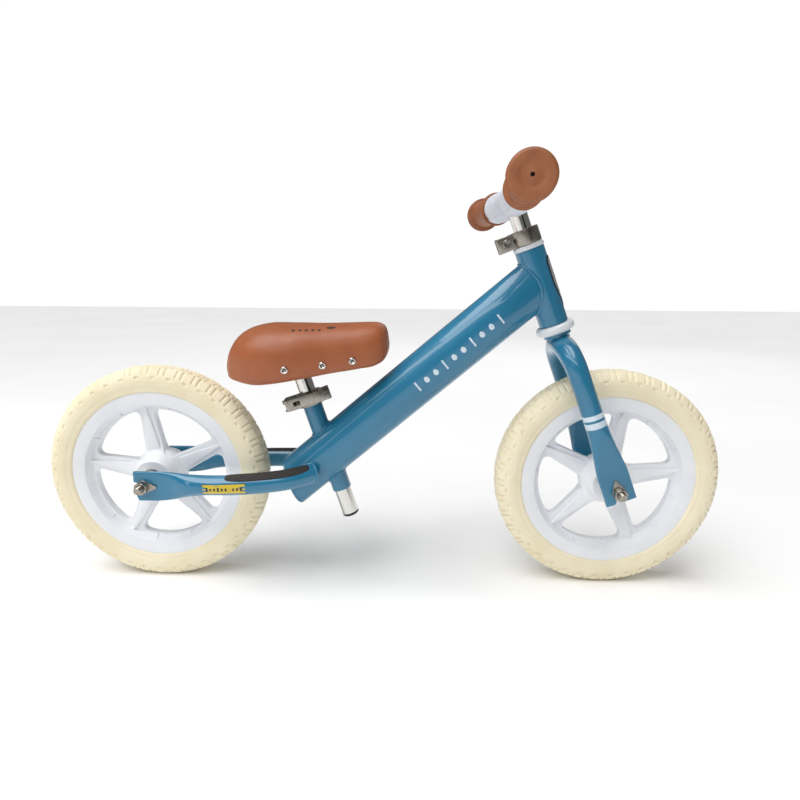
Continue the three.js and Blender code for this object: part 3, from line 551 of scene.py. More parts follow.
# White vinyl film: bluish white with a thin gloss coat, so the bands shine like the paint beside them.
VINYL = plain_finish("vinyl_film_white", "#CBDDEB", "#D9E7F1", 0.25, 30, 500.0, 0.01, Coat_Weight=0.6)
# Printed black ink: flat near black, a little glossier than the tape.
INK = plain_finish("printed_ink_black", "#17181A", "#222325", 0.4, 8, 900.0, 0.01)
# Yellow vinyl film: the label's warm yellow under a light gloss.
YELLOW = plain_finish("vinyl_film_yellow", "#D2B62A", "#DCC23C", 0.35, 20, 500.0, 0.01, Coat_Weight=0.4)
# Brushed metal foil: pale grey, partly metallic, so the badge catches the light.
FOIL = plain_finish("brushed_foil_silver", "#BFC4C8", "#D8DCDF", 0.3, 6, 700.0, 0.02, Metallic=0.6)
# Dark brown print on leather: dull, and it keeps the leather's fine grain.
PRINT = plain_finish("leather_print_brown", "#3A241C", "#4A2E23", 0.6, 5, 620.0, 0.05)


# ---------------------------------------------------------------- frame
def stay_knots(side):
    """[x, y, z, tall, wide, square] from the dropout to the main tube: flat, then round, then bent
    inwards."""
    level, y = 147.0, side * DROPOUT_Y
    flat = [DROPOUT_HEIGHT, DROPOUT_THICK, 7.0]
    return [
        [-308, y, 145, *flat],
        [-296, y, 145, *flat],
        [-279, y, 145, *flat],
        [-262, y, 145.5, 35.5, 9, 3.4],
        [-242, y, level - 0.6, 29, 20.5, 2.3],
        [-220, y, level, TUBE, TUBE, 2],
        [-186, y, level + 0.6, TUBE, TUBE, 2],
        [-150, side * (DROPOUT_Y - 2.5), level + 2.5, TUBE, TUBE, 2],
        [-116, side * (DROPOUT_Y - 10), level + 5, TUBE, TUBE, 2],
        [-84, side * 26, level + 9, TUBE, TUBE, 2],
    ]


MAIN_TALL, MAIN_WIDE, MAIN_SQUARE = 62.0, 56.0, 2.15
MAIN_KNOTS = [
    [*lay(np.array([0.0, 0.0, z]), MAIN), MAIN_TALL, wide, MAIN_SQUARE]
    for z, wide in [(-60, MAIN_WIDE), (100, MAIN_WIDE), (300, MAIN_WIDE), (350, MAIN_WIDE - 4),
        (410, 2 * HEAD_RADIUS - 3)]
]
MAIN_START = 60.0  # distance along the knots at the main tube's own zero
main_surface = tube_along(MAIN_KNOTS, -np.cross(ACROSS, MAIN[1]))
head_surface = round_tube(STEERING, HEAD_RADIUS)
seat_surface = round_tube(SEATING, TUBE / 2)


def outside_main(points):
    """Above zero outside the main tube: |x/a|^n + |y/b|^n - 1 in its own frame."""
    own = upright(points, MAIN)
    tall = np.abs(own[..., 0] / (MAIN_TALL / 2)) ** MAIN_SQUARE
    return tall + np.abs(own[..., 1] / (MAIN_WIDE / 2)) ** MAIN_SQUARE - 1


def outside_head(points):
    """Above zero outside the head tube's wall: distance from the steering axis less its radius."""
    own = upright(points, STEERING)
    return np.hypot(own[..., 0], own[..., 1]) - HEAD_RADIUS + 0.6


def rear_cut(angle):
    """Where the main tube's end plane, square to the steering's fore-and-aft line, crosses each line of
    the tube."""
    ahead = np.cross(ACROSS, STEERING[1])
    main_x = np.cross(ACROSS, MAIN[1])
    x = -MAIN_TALL / 2 * bend(np.cos(angle), 2 / MAIN_SQUARE)
    return MAIN_START + (3.0 - x * (ahead @ main_x)) / (ahead @ MAIN[1])


def weld(path, radius, ripples):
    """A bead along a closed path: a ring of radius·(1 + 0.1·sin(ripples·a)) square to it."""
    path = path + 0.0
    along = np.roll(path, -1, 0) - np.roll(path, 1, 0)
    along = along / np.linalg.norm(along, axis=1, keepdims=True)
    out = path - path.mean(0)
    out = out - (out * along).sum(1, keepdims=True) * along
    out = out / np.linalg.norm(out, axis=1, keepdims=True)
    side = np.cross(along, out)
    turn = around(12)
    size = radius * (1 + 0.1 * np.sin(np.arange(len(path)) / len(path) * TURN * ripples))
    ring = np.cos(turn)[:, None, None] * out + np.sin(turn)[:, None, None] * side
    return (path + size[:, None] * ring).transpose(1, 0, 2), True, True


def build_frame():
    """Main tube, head tube, seat tube and stays, with the weld beads between them."""
    angle = around(96)
    front = meeting(main_surface, angle, outside_head, 380, 470)
    rear = rear_cut(angle)
    share = np.linspace(0, 1, 60)[:, None]
    grid = main_surface(rear + (front - rear) * share, np.broadcast_to(angle, (60, 96)))
    piece("main_tube", [(grid, False, True)], TEAL, "frame", ["frame"],
        [grid[0], grid[-1][::-1]])
    head = rounded([(15.5, HEAD_LOW), (HEAD_RADIUS, HEAD_LOW), (HEAD_RADIUS, HEAD_HIGH), (15.5, HEAD_HIGH)],
        0.6)
    piece("head_tube", [(turned(head, *STEERING, 96), True, True)], TEAL, "frame")
    inner = POST / 2 + GAP
    seat = rounded([(inner, -120), (TUBE / 2, -120), (TUBE / 2, 18), (inner, 18)], 0.5)
    seat_tube = piece("seat_tube", [(turned(seat, *SEATING, 72), True, True)], TEAL, "frame")
    cut(seat_tube, box_tool((-20, -1, -16), (-5, 1, 30), on(SEATING)))
    beads = [weld(main_surface(front, angle), 2.2, 40)]
    upper = meeting(seat_surface, angle, outside_main, 0, -60)
    lower = meeting(seat_surface, angle, outside_main, -118, -60)
    beads += [weld(seat_surface(upper, angle), 1.9, 26), weld(seat_surface(lower, angle), 1.7, 26)]
    for label, side in SIDES.items():
        knots = stay_knots(side)
        surface = tube_along(knots, UP)
        inside = meeting(surface, angle, outside_main, 150, length_of(knots) - 2)
        share = np.linspace(0, 1, 90)[:, None]
        grid = surface(inside * share, np.broadcast_to(angle, (90, 96)))
        stay = piece("stay_" + label, [(closed_ends(grid), False, True)], TEAL, "frame")
        slot_axle(stay, across(REAR_AXLE, AHEAD, UP), side, -5.0)
        beads.append(weld(surface(inside - 0.6, angle), 2.0, 26))
        build_footrest(label, side, surface)
    piece("frame_welds", beads, TEAL, "frame")


def slot_axle(made, put, side, lobe):
    """Cuts the slot that the axle drops into, open towards the plan's -x, flared at its mouth. The lower
    lobe's end
    slants in to x = lobe."""
    radius = 5.05
    outline = np.vstack([
        [(-30.0, -25.0), (lobe, -25.0), (-10.5, -radius - 1.2), (-6.5, -radius)],
        arc(radius, -90, 90, 16),
        [(-6.5, radius), (-9.0, radius + 0.6), (-30.0, radius + 1.6)],
    ])
    cut(made, plate_tool(outline, side * DROPOUT_Y - 8, side * DROPOUT_Y + 8, put))


def build_footrest(label, side, surface):
    """A strip of anti-slip tape along the top of a stay: a round-ended film 1.2 mm proud."""
    strip = film(surface, (168.0, side * np.radians(14)), (106.0, np.radians(82)), 1.2, square=4.5, count=96)
    piece("footrest_tape_" + label, [strip], TAPE, "frame", ["footrest_" + label])


def build_main_cap():
    """The plate welded over the main tube's open lower end, with its bead."""
    angle = around(96)
    ring = main_surface(rear_cut(angle), angle)
    middle_of = ring.mean(0)
    back = -np.cross(ACROSS, STEERING[1])
    steps = [(0.0, 0.6), (0.97, 0.0), (1.0, 0.5), (1.0, 2.2), (0.985, 2.8), (0.9, 3.0), (0.5, 3.0),
        (0.0, 3.0)]
    grid = np.array([middle_of + (ring - middle_of) * share + back * out for share, out in steps])
    piece("main_tube_end", [(grid, False, True)], TEAL, "frame", ["main_tube_cap"])


def build_headset():
    """The two plastic headset rings, each with its lip."""
    inner = TUBE / 2 + GAP
    low = [(inner, -11), (21, -11), (23.8, -8.8), (23.8, -3.4), (21.4, -0.3), (15.2, -0.3), (15.2, 12),
        (inner, 12)]
    high = [(inner, -12), (15.2, -12), (15.2, 0.3), (19, 0.3), (19, 4.6), (17.8, 6), (inner, 6)]
    for name, corners, level in (("lower", low, HEAD_LOW), ("upper", high, HEAD_HIGH)):
        profile = rounded([(radius, level + z) for radius, z in corners], 1.0)
        grid = turned(profile, *STEERING, 96)
        piece(f"headset_ring_{name}", [(grid, True, True)], CUP_WHITE, "frame",
            [f"headset_{name}_cup"])


# How far the underside of a badge or a printed ring lies below the surface that carries it, and how far
# a printed ring stands above it.
BURIED = -0.3
PROUD = 0.12


def shield(surface, centre, size, thick, base):
    """A shield-shaped film: half width w·(1 - ((1 + t)/2)^3) below and straight sides above, over heights
    t."""
    t = np.linspace(-1, 1, 40)
    half = (1 - np.clip((0.2 - t) / 1.2, 0, 1) ** 2.4) * (1 - np.clip(t - 0.8, 0, 1) * 1.2)
    s = np.linspace(-1, 1, 24)
    height = centre + size[0] / 2 * np.repeat(t[:, None], 24, 1)
    angle = size[1] / 2 * half[:, None] * s[None]
    return [
        (surface(height, angle, thick), False, False),
        (surface(height[:, ::-1], angle[:, ::-1], base), False, False),
    ]


def closed_shield(surface, centre, size, thick):
    """The shield's two faces with a wall between their edges."""
    front, back = shield(surface, centre, size, thick, BURIED)
    face, under = front[0], back[0][:, ::-1]
    edge = lambda grid: np.vstack([grid[0], grid[1:, -1], grid[-1, -2::-1], grid[-2:0:-1, 0]])
    return [front, (under, False, False), (np.stack([edge(face), edge(under)]), False, True)]


def build_badge():
    """A silver shield on the head tube with a dark border and a plain wheel sign."""
    high = 268.0
    wide = np.radians(96)
    border = closed_shield(head_surface, high, (66, wide), 0.7)
    piece("head_badge_border", border, INK, "frame", ["head_badge"])
    face = closed_shield(head_surface, high, (60, wide * 0.86), 1.0)
    piece("head_badge_face", face, FOIL, "frame")
    wheel = 16.0
    marks = [film(head_surface, (high + 6, 0.0), (wheel, wheel / HEAD_RADIUS), 1.15, 2.0, 4, 32)]
    marks += [film(head_surface, (high - 12, a), (3.0, 0.28), 1.15, 6.0, 4, 24) for a in (-0.3, 0.0, 0.3)]
    piece("head_badge_sign", marks, TEAL, "frame")


def build_marks():
    """Plain printed marks: a row of bars on the main tube's two sides and a bordered label on each stay."""
    bars = []
    for side in SIDES.values():
        for i in range(10):
            place = (MAIN_START + 214 + 14.5 * i, side * np.radians(95))
            size, square = ((3.0, 14 / 28), 6.0) if i % 3 == 0 else ((8.0, 8 / 28), 2.0)
            bars.append(film(main_surface, place, size, 0.12, square, 3, 28, -0.2))
    piece("main_tube_marks", bars, VINYL, "frame")
    for label, side in SIDES.items():
        surface = tube_along(stay_knots(side), UP)
        centre = (308 - 192.0, side * np.radians(96))
        under = film(surface, centre, (60.5, 1.24), 0.1, 16.0, 4, 96, -0.2)
        top = film(surface, centre, (58.5, 1.1), 0.18, 16.0, 4, 96, -0.2)
        piece("label_border_" + label, [under], INK, "frame")
        piece("label_face_" + label, [top], YELLOW, "frame")
        signs = [
            film(surface, (centre[0] - 20.5 + 4.6 * i, centre[1]), (2.6, 0.34 if i % 3 else 0.5), 0.24, 5.0,
                3, 20, 0.0)
            for i in range(10)
            if i != 6
        ]
        piece("label_marks_" + label, signs, INK, "frame")


build_frame()
build_main_cap()
build_headset()
build_badge()
build_marks()


# ---------------------------------------------------------------- fork
STEERING_AHEAD = np.cross(ACROSS, STEERING[1])


def leg_knots(side):
    """[x, y, z, tall, wide, square] of one leg, drawn upright on the steering axis from its dropout to the
    crown."""
    y = DROPOUT_Y
    upright_knots = [
        [-13, y, 38, 6, 7],
        [8, y, 38, 6, 7],
        [28, y, 37.5, 6.4, 6],
        [50, y - 0.5, 32, 13, 3.2],
        [76, y - 1.5, 27, 24, 2.2],
        [112, y - 4, TUBE, TUBE, 2],
        [150, y - 6, TUBE, TUBE, 2],
        [168, y - 9.5, TUBE + 0.8, TUBE, 2],
        [181, 34, TUBE + 2, TUBE, 2],
        [188.5, 18, TUBE + 3, TUBE, 2],
        [190.5, 0, TUBE + 3, TUBE, 2],
    ]
    return [[*lay(np.array([0.0, side * y, z]), STEERING), *size] for z, y, *size in upright_knots]


def band(surface, low, high):
    """A printed ring round a tube between two distances."""
    rows = [(low, BURIED), (low, PROUD), ((low + high) / 2, PROUD), (high, PROUD), (high, BURIED)]
    angle = around(64)
    grid = [surface(np.full(64, at), angle, np.full(64, out)) for at, out in rows]
    return np.array(grid), True, True


def build_fork():
    """One bent tube from dropout to dropout, the steerer over it, the bearing race and the printed bands."""
    left, right = leg_knots(1), leg_knots(-1)
    knots = left[:-1] + [left[-1]] + right[-2::-1]
    surface = tube_along(knots, STEERING_AHEAD)
    angle = around(96)
    distance = np.linspace(0, length_of(knots), 260)[:, None]
    grid = surface(distance, np.broadcast_to(angle, (260, 96)))
    fork = piece("fork_legs", [(closed_ends(grid), False, True)], TEAL, "fork", ["fork"])
    for side in SIDES.values():
        slot_axle(fork, across(FRONT_AXLE, STEERING[1], STEERING_AHEAD), side, -30.0)
    inner = POST / 2 + GAP
    steerer = [(inner, 196), (TUBE / 2, 196), (TUBE / 2, STEERER_HIGH), (inner, STEERER_HIGH)]
    race = [(TUBE / 2 - 0.5, 200.6), (15.4, 201), (17, 202.4), (17, 206.2), (16.4, 206.7),
        (TUBE / 2 - 0.5, 206.7)]
    tube = turned(rounded(steerer, 0.5), *STEERING, 72)
    made = piece("steerer", [(tube, True, True)], TEAL, "fork")
    cut(made, box_tool((-20, -1, STEERER_HIGH - 30), (-5, 1, STEERER_HIGH + 5), on(STEERING)))
    piece("crown_race", [(turned(race, *STEERING, 72), True, True)], TEAL, "fork")
    seam_surface = round_tube(STEERING, TUBE / 2)
    seam_height = 190.5 + np.sqrt(
        np.maximum((TUBE / 2) ** 2 - (TUBE / 2 * np.cos(angle) * 0.9) ** 2, 1.0)) + 1.0
    piece("fork_weld", [weld(seam_surface(seam_height, angle), 1.7, 30)], TEAL, "fork")
    bands = []
    for side in SIDES.values():
        leg = tube_along(leg_knots(side), STEERING_AHEAD)
        bands += [band(leg, 102.6, 110.2), band(leg, 113.4, 119.6)]
    piece("fork_bands", bands, VINYL, "fork")


# ---------------------------------------------------------------- clamps
def collar_plan(outer, inner, reach, half, slack):
    """A split ring with two ears behind it, seen from above."""
    ear, mouth = np.degrees(np.arcsin(half / outer)), np.degrees(np.arcsin(slack / inner))
    corner = 2.0
    return np.vstack([
        [(-reach, slack), (-reach, half - corner), (-reach + corner * 0.3, half - corner * 0.3),
            (-reach + corner, half)],
        arc(outer, 180 - ear, -180 + ear, 56),
        [(-reach + corner, -half), (-reach + corner * 0.3, -half + corner * 0.3), (-reach, -half + corner),
        (-reach, -slack)],
        arc(inner, -180 + mouth, 180 - mouth, 56),
    ])


BOLT_HOLE_RADIUS = 3.3


def bolt_hole(place, x, height):
    """A round hole along Y through a clamp's ears, for cut()."""
    middle_of_hole = lay(np.array([x, 0.0, height]), place)
    put = across(middle_of_hole, np.cross(ACROSS, place[1]), place[1])
    return plate_tool(arc(BOLT_HOLE_RADIUS, 0, 345, 24), -40, 40, put)


def cap_screw(place, x, y, height, radius, deep, towards):
    """A socket cap screw's head along Y: a rounded cylinder with a hexagon hole in its face."""
    origin = lay(np.array([x, y, height]), place)
    profile = [
        (0.01, 0, 0), (radius - 0.3, 0, 0), (radius, 0.3, 0), (radius, deep - 0.6, 0),
            (radius - 0.6, deep, 0),
        (radius * 0.62, deep, 0), (radius * 0.58, deep - 0.15, 1), (radius * 0.56, deep * 0.45, 1),
            (0.01, deep * 0.4, 1),
    ]
    return turned(profile, origin, towards * ACROSS, 48), False, True


def hex_nut(origin, axis, flats, hole, deep):
    """A hexagon nut with its corners turned off at both faces, and a bore."""
    corner = flats / np.sqrt(3)
    profile = [
        (hole, 0.6, 0), (hole + 0.5, 0, 0), (flats / 2 * 0.97, 0, 0), (corner * 0.955, 0.45, 0.55),
            (corner, 1.3, 1),
        (corner, deep - 1.3, 1), (corner * 0.955, deep - 0.45, 0.55), (flats / 2 * 0.97, deep, 0),
        (hole + 0.5, deep, 0), (hole, deep - 0.6, 0),
    ]
    return turned(profile, origin, axis, 96), True, True


def build_clamps():
    """The bar clamp, the seat clamp and its quick-release lever."""
    low, high = HEAD_HIGH + 6 + GAP, STEERER_HIGH + 1
    bolt_x, level = -25.0, (HEAD_HIGH + STEERER_HIGH + 7 + GAP) / 2
    sheet, fills = plate(collar_plan(18, TUBE / 2 + GAP, 36, 8, 1.2), low, high, 1.0, on(STEERING))
    made = piece("bar_clamp", [sheet], ZINC, "fork", ["bar_clamp_collar"], fills)
    cut(made, bolt_hole(STEERING, bolt_x, level))
    shank = turned([(0.01, 0), (3, 0), (3, 25), (2.6, 25.6), (0.01, 25.6)],
        lay(np.array([bolt_x, -8.2, level]), STEERING), ACROSS, 32)
    screw = [cap_screw(STEERING, bolt_x, -8 - GAP, level, 5.2, 5, -1), (shank, False, True)]
    piece("bar_clamp_screw", screw, ZINC, "fork", ["bar_clamp_bolt"])
    nut = hex_nut(lay(np.array([bolt_x, 8 + GAP, level]), STEERING), ACROSS, 10, 3.2, 5)
    piece("bar_clamp_hexagon", [nut], ZINC, "fork", ["bar_clamp_nut"])
    sheet, fills = plate(collar_plan(17, TUBE / 2 + GAP, 32, 6.5, 1.2), 1, 19, 1.2, on(SEATING))
    made = piece("seat_clamp", [sheet], ZINC, "frame", ["seat_clamp_collar"], fills)
    cut(made, bolt_hole(SEATING, bolt_x, 10))
    nut = hex_nut(lay(np.array([bolt_x, 6.5 + GAP, 10.0]), SEATING), ACROSS, 10, 3.1, 5)
    piece("seat_clamp_hexagon", [nut], ZINC, "frame", ["seat_clamp_nut"])
    build_lever()


def build_lever():
    """The quick-release lever: a long flat plate round its cam, slotted for the pin's eye, with a raised
    thumb tab."""
    pivot = np.array([-25.0, -15.0])
    cam = 7.2
    curve = lambda a, b, c: [
        ((1 - t) ** 2 * a[0] + 2 * t * (1 - t) * b[0] + t * t * c[0],
            (1 - t) ** 2 * a[1] + 2 * t * (1 - t) * b[1] + t * t * c[1])
        for t in np.linspace(0, 1, 12)
    ]
    plan = np.vstack([
        [(-8.0, pivot[1] - cam)],
        curve((8, -22.2), (20, -21.5), (29.5, -15.8)),
        [(30.6, -14.4), (30.2, -13.0)],
        curve((27, -13.2), (18, -19), (8, -19.2)),
        curve((-12, -19.2), (-16, -19.2), (pivot[0] + cam, pivot[1])),
        arc(cam, 0, 270, 40, pivot)[1:],
    ])
    sheet, fills = plate(plan, 4, 19, 1.0, on(SEATING))
    made = piece("clamp_lever", [sheet], ZINC, "clamp_lever", ["seat_clamp_lever"], fills)
    high_tab = np.array([point for point in plan if point[0] > 19.9])
    tab_sheet, tab_fills = plate(high_tab, 12, 21.5, 1.2, on(SEATING))
    piece("clamp_lever_tab", [tab_sheet], ZINC, "clamp_lever", [], tab_fills)
    eye = box_tool((-34, -21, 5.6), (-18.8, 0, 14.4), on(SEATING))
    far = box_tool((-31, -30, 8), (-28.6, 0, 13), on(SEATING))
    window = box_tool((-18, -30, 8.5), (-9, -15, 14), on(SEATING))
    pin = plate_tool(arc(2.3, 0, 340, 18, pivot), 0, 30, on(SEATING))
    cut(made, eye, far, window, pin)


# ---------------------------------------------------------------- handlebar
BAR_MIDDLE = lay(np.array([0.0, 0.0, BAR_HEIGHT]), STEERING)
SWEEP = BAR_SWEEP / (BAR_HALF - BAR_STRAIGHT)


def bar_point(y):
    """The bar's middle line: straight in the centre, swept back past it by SWEEP·(b + sqrt(b² + 64))/2."""
    past = np.abs(y) - BAR_STRAIGHT
    back = SWEEP * (past + np.sqrt(past**2 + 64)) / 2
    return np.stack([BAR_MIDDLE[0] - back, y, np.full_like(y, BAR_MIDDLE[2])], -1)


def bar_surface(y, angle, radius):
    """The point at `radius` from the bar's line: angle 0 is up and 90 degrees is forward."""
    y, angle, radius = np.broadcast_arrays(np.asarray(y, float), angle, radius)
    along = bar_point(y + 0.5) - bar_point(y - 0.5)
    ahead = np.cross(along / np.linalg.norm(along, axis=-1, keepdims=True), UP)
    return bar_point(y) + radius[...,
        None] * (np.cos(angle)[..., None] * UP + np.sin(angle)[..., None] * ahead)


def build_handlebar():
    """The chromed bar and its post."""
    y = np.linspace(-179, 179, 120)[:, None]
    bar = bar_surface(y, around(64), POST / 2)
    half = POST / 2
    post = [(0.01, 226), (half - WALL, 226), (half - 0.4, 226), (half, 226.5), (half, BAR_HEIGHT - 2),
        (0.01, BAR_HEIGHT - 2)]
    post = turned(post, *STEERING, 72)
    piece("bar_tube", [(closed_ends(bar), False, True), (post, False, True)], CHROME, "handlebar",
        ["handlebar"])


def build_pad():
    """A foam sleeve wrapped round the bar. Its radius falls by one thickness at the flap's edge and rises
    again
    over the turn: r = R - 1.6·s(a) + dents, where s drops from 1 to 0 at the edge."""
    angle = np.arange(160) / 160 * TURN
    edge = np.radians(222)
    since = (edge - angle) % TURN / TURN
    step = (1 - since) * ease(since / 0.02)
    loop_y = np.concatenate(
        [np.linspace(-1, 1, 90), np.full(9, 1.0), np.linspace(1, -1, 12), np.full(9, -1.0)]) * PAD_HALF
    share = np.concatenate(
        [np.ones(90), np.linspace(1, 0, 11)[1:-1], np.zeros(12), np.linspace(0, 1, 11)[1:-1]])
    round_off = 3.5
    from_end = PAD_HALF - np.abs(loop_y[:90])
    drop = np.zeros(len(loop_y))
    drop[:90] = round_off - np.sqrt(np.maximum(round_off**2 - np.maximum(round_off - from_end, 0) ** 2, 0))
    drop = np.where(share < 1, round_off, drop)
    waves = np.sin(loop_y[:, None] / 9.0 + 2.1 * np.sin(angle * 2)) * np.sin(
        angle * 3 + loop_y[:, None] / 23.0)
    flap = (1 - step) * (1 + 0.25 * np.sin(loop_y[:, None] / 17.0))
    outer = PAD_RADIUS + 0.6 - 2.4 * flap + 0.2 * waves - drop[:, None]
    radius = share[:, None] * outer + (1 - share[:, None]) * (POST / 2 + 0.4)
    grid = bar_surface(loop_y[:, None], angle, radius)
    made = piece("bar_foam", [(grid, True, True)], WRAP, "handlebar", ["bar_pad"], crease=50)


def build_grips():
    """Moulded grips: an end disc with a small hole, ring grooves beside it, a waisted handle and an inner
    flange, with a black disc of painted shade at the bottom of the hole."""
    end, pad = 0.0, PAD_HALF - BAR_HALF
    corners = [
        (2.0, end - 5), (2.0, end - 0.6), (6.0, end - 1.3), (10.5, end - 1.5), (14.5, end - 0.5),
            (20.5, end - 0.3),
        (23.3, end - 2.2), (23.3, end - 5.4), (19.0, end - 5.9), (19.0, end - 8.0), (23.6, end - 8.5),
        (23.6, end - 11.2), (19.0, end - 11.7), (19.0, end - 13.8), (23.4, end - 14.3), (23.2, end - 17.4),
        (18.8, end - 18.4), (17.4, end - 27), (17.6, end - 48), (16.6, end - 70), (16.0, pad + 12),
        (17.6, pad + 8), (21.8, pad + 5.4), (21.8, pad + 2),
        (20.6, pad + 0.9), (POST / 2 + GAP, pad + 0.8), (POST / 2 + GAP, end - 5),
    ]
    for label, side in SIDES.items():
        origin = np.array([BAR_MIDDLE[0] - BAR_SWEEP, side * BAR_HALF, BAR_MIDDLE[2]])
        axis = np.array([-SWEEP, side * 1.0, 0.0])
        profile = rounded(corners, 0.9, 4)
        grid = turned(profile, origin, axis / np.linalg.norm(axis), 96)
        piece("grip_" + label + "_rubber", [(grid, True, True)], RUBBER, "handlebar",
            ["grip_" + label])
        # A black disc closes the bottom of the end hole: painted shade, standing for the dark hollow inside
        # the hole.
        plug = turned([(0.01, -5.6), (2.3, -5.6), (2.3, -4.6), (0.01, -4.6)], origin,
            axis / np.linalg.norm(axis), 24)
        piece("grip_" + label + "_vent_painted_shade", [(plug, False, True)], INK, "handlebar")


# ---------------------------------------------------------------- wheels
WINDOW_RADIUS, WEB_HALF, LIP_RADIUS = 88.0, 6.0, 96.0
RIDGE = 3.0  # how far each spoke's ridge stands out
HALF_SECTOR = np.pi / SPOKES


def round_meet(first, second, radius):
    """Two distances joined with a round corner: min(-r, max(a, b)) + |max(r + a, 0), max(r + b, 0)|."""
    both = np.hypot(np.maximum(radius + first, 0), np.maximum(radius + second, 0))
    return np.minimum(-radius, np.maximum(first, second)) + both


def from_spoke(x, y):
    """The distance from the nearer spoke's centre line, in a sector whose middle is the x axis."""
    return x * np.sin(HALF_SECTOR) - np.abs(y) * np.cos(HALF_SECTOR)


def outside_window(x, y):
    """Above zero outside the opening between two spokes: inside an arc and two lines beside the spokes,
    with its
    corners rounded."""
    spoke_half = 8.0 + 5.5 * (WINDOW_RADIUS - x) / 62
    left = spoke_half - (x * np.sin(HALF_SECTOR) - y * np.cos(HALF_SECTOR))
    right = spoke_half - (x * np.sin(HALF_SECTOR) + y * np.cos(HALF_SECTOR))
    return round_meet(round_meet(left, right, 14.0), np.hypot(x, y) - WINDOW_RADIUS, 10.0)


def web_height(x, y):
    """Half the web's thickness: WEB_HALF plus the swelling to the hub, rounded off at the opening and
    closed at both
    of its hidden edges."""
    radius = np.hypot(x, y)
    hub = 12.0 * np.clip((46 - radius) / 22, 0, 1) ** 2.2
    edge = np.clip(1.6 - outside_window(x, y), 0, 1.6)
    height = WEB_HALF + hub - (1.6 - np.sqrt(1.6**2 - edge**2))
    return height * np.clip((95 - radius) / 1.2, 0, 1) * np.clip((radius - 21) / 1.2, 0, 1)


def web_sector():
    """x, y and half thickness of one sector's web: rays from the opening's middle, from its outline to the
    edges."""
    heart = np.array([60.0, 0.0])
    corners = [(21.0, -HALF_SECTOR), (95.0, -HALF_SECTOR), (95.0, HALF_SECTOR), (21.0, HALF_SECTOR)]
    aims = [np.arctan2(r * np.sin(a), r * np.cos(a) - heart[0]) for r, a in corners]
    aims = [aims[0], aims[1], aims[2], aims[3], aims[0] + TURN]
    counts = (34, 44, 34, 12)
    parts = [np.linspace(a, b, n, endpoint=False) for a, b, n in zip(aims[:-1], aims[1:], counts)]
    aim = np.concatenate(parts)
    ray = np.stack([np.cos(aim), np.sin(aim)], -1)

    def solve(measure, far):
        low, high = np.zeros(len(aim)), np.full(len(aim), far)
        for _ in range(40):
            half = (low + high) / 2
            spot = heart + half[:, None] * ray
            out = measure(spot[:, 0], spot[:, 1]) > 0
            low, high = np.where(out, low, half), np.where(out, half, high)
        return (low + high) / 2

    def outside_sector(x, y):
        radius = np.hypot(x, y)
        return np.maximum(np.maximum(radius - 95, 21 - radius), -from_spoke(x, y))

    inner = solve(outside_window, 60.0)
    outer = solve(outside_sector, 90.0)
    share = np.linspace(0, 1, 22)[:, None] ** 1.5
    reach = inner + (outer - inner) * share
    spot = heart + reach[..., None] * ray
    return spot[..., 0], spot[..., 1], web_height(spot[..., 0], spot[..., 1])


def build_rim(label, centre):
    """A moulded rim: lip ring, web with five openings, ridged spokes, hub and thin gussets behind the lip."""
    x, y, height = web_sector()
    sheets, fills = [], []
    for k in range(SPOKES):
        turn = np.radians(FIRST_SPOKE[label]) + (2 * k + 1) * HALF_SECTOR
        ahead = x * np.cos(turn) - y * np.sin(turn)
        above = x * np.sin(turn) + y * np.cos(turn)
        for side in (1, -1):
            sheets.append((centre + np.stack([ahead, side * height, above], -1), False, True))
        steps = np.linspace(1, -1, 5)[:, None]
        wall = centre + np.stack([ahead[0] + 0 * steps, steps * height[0], above[0] + 0 * steps], -1)
        sheets.append((wall, False, True))
    half = [
        (RIM_RADIUS, RIM_HALF - 0.9), (RIM_RADIUS - 0.9, RIM_HALF), (LIP_RADIUS + 1.0, RIM_HALF),
        (LIP_RADIUS, RIM_HALF - 0.5), (LIP_RADIUS - 0.6, RIM_HALF - 1.6), (92.4, 8.6), (91.6, 7.0),
        (90.0, WEB_HALF - 0.3),
        (89.6, WEB_HALF - 2),
    ]
    lip = np.array(half + [(radius, -y_at) for radius, y_at in half[::-1]])
    sheets.append((turned(lip, centre, ACROSS, 240), True, True))
    hub = [
        (BORE, 21.5), (BORE, HUB_HALF - 0.5), (BORE + 0.5, HUB_HALF), (23.6, HUB_HALF),
            (24.8, HUB_HALF - 1.2), (25.3, 24), (26.2, 18),
        (28.4, 13), (31, 9.5), (33, 6),
    ]
    ring = np.array(hub + [(radius, -y_at) for radius, y_at in hub[::-1]])
    sheets.append((turned(ring, centre, ACROSS, 120), True, True))
    for k in range(SPOKES):
        angle = np.radians(FIRST_SPOKE[label]) + 2 * k * HALF_SECTOR
        ahead = np.array([np.cos(angle), 0.0, np.sin(angle)])
        outline = [(24.0, -9.6), (60.0, -5.6), (96.5, -0.8), (96.5, 0.8), (60.0, 5.6), (24.0, 9.6)]
        put = across(centre, ahead, np.array([-np.sin(angle), 0.0, np.cos(angle)]))
        sheet, ends = plate(outline, -WEB_HALF - RIDGE, WEB_HALF + RIDGE, 0.8, put)
        sheets.append(sheet)
        fills += ends
        for offset in (-0.42, 0.42):
            angle = np.radians(FIRST_SPOKE[label]) + (2 * k + 1 + offset) * HALF_SECTOR
            out = np.array([np.cos(angle), 0.0, np.sin(angle)])
            thick = np.cross(ACROSS, out)
            for side in (1, -1):
                outline = [(88.8, 4.0), (96.2, 4.0), (96.2, 14.6), (94.6, 14.2), (90.0, 7.6), (88.8, 6.6)]
                put = lambda p: centre + p @ np.array([out, side * ACROSS, thick])
                sheet, ends = plate(outline, -0.6, 0.6, 0.25, put)
                sheets.append(sheet)
                fills += ends
    piece(label + "_rim_moulding", sheets, RIM_WHITE, label + "_wheel", [label + "_rim"],
        fills, 32)


BORE = 13.3
HUB_HALF = 30.0
TREADS = 40


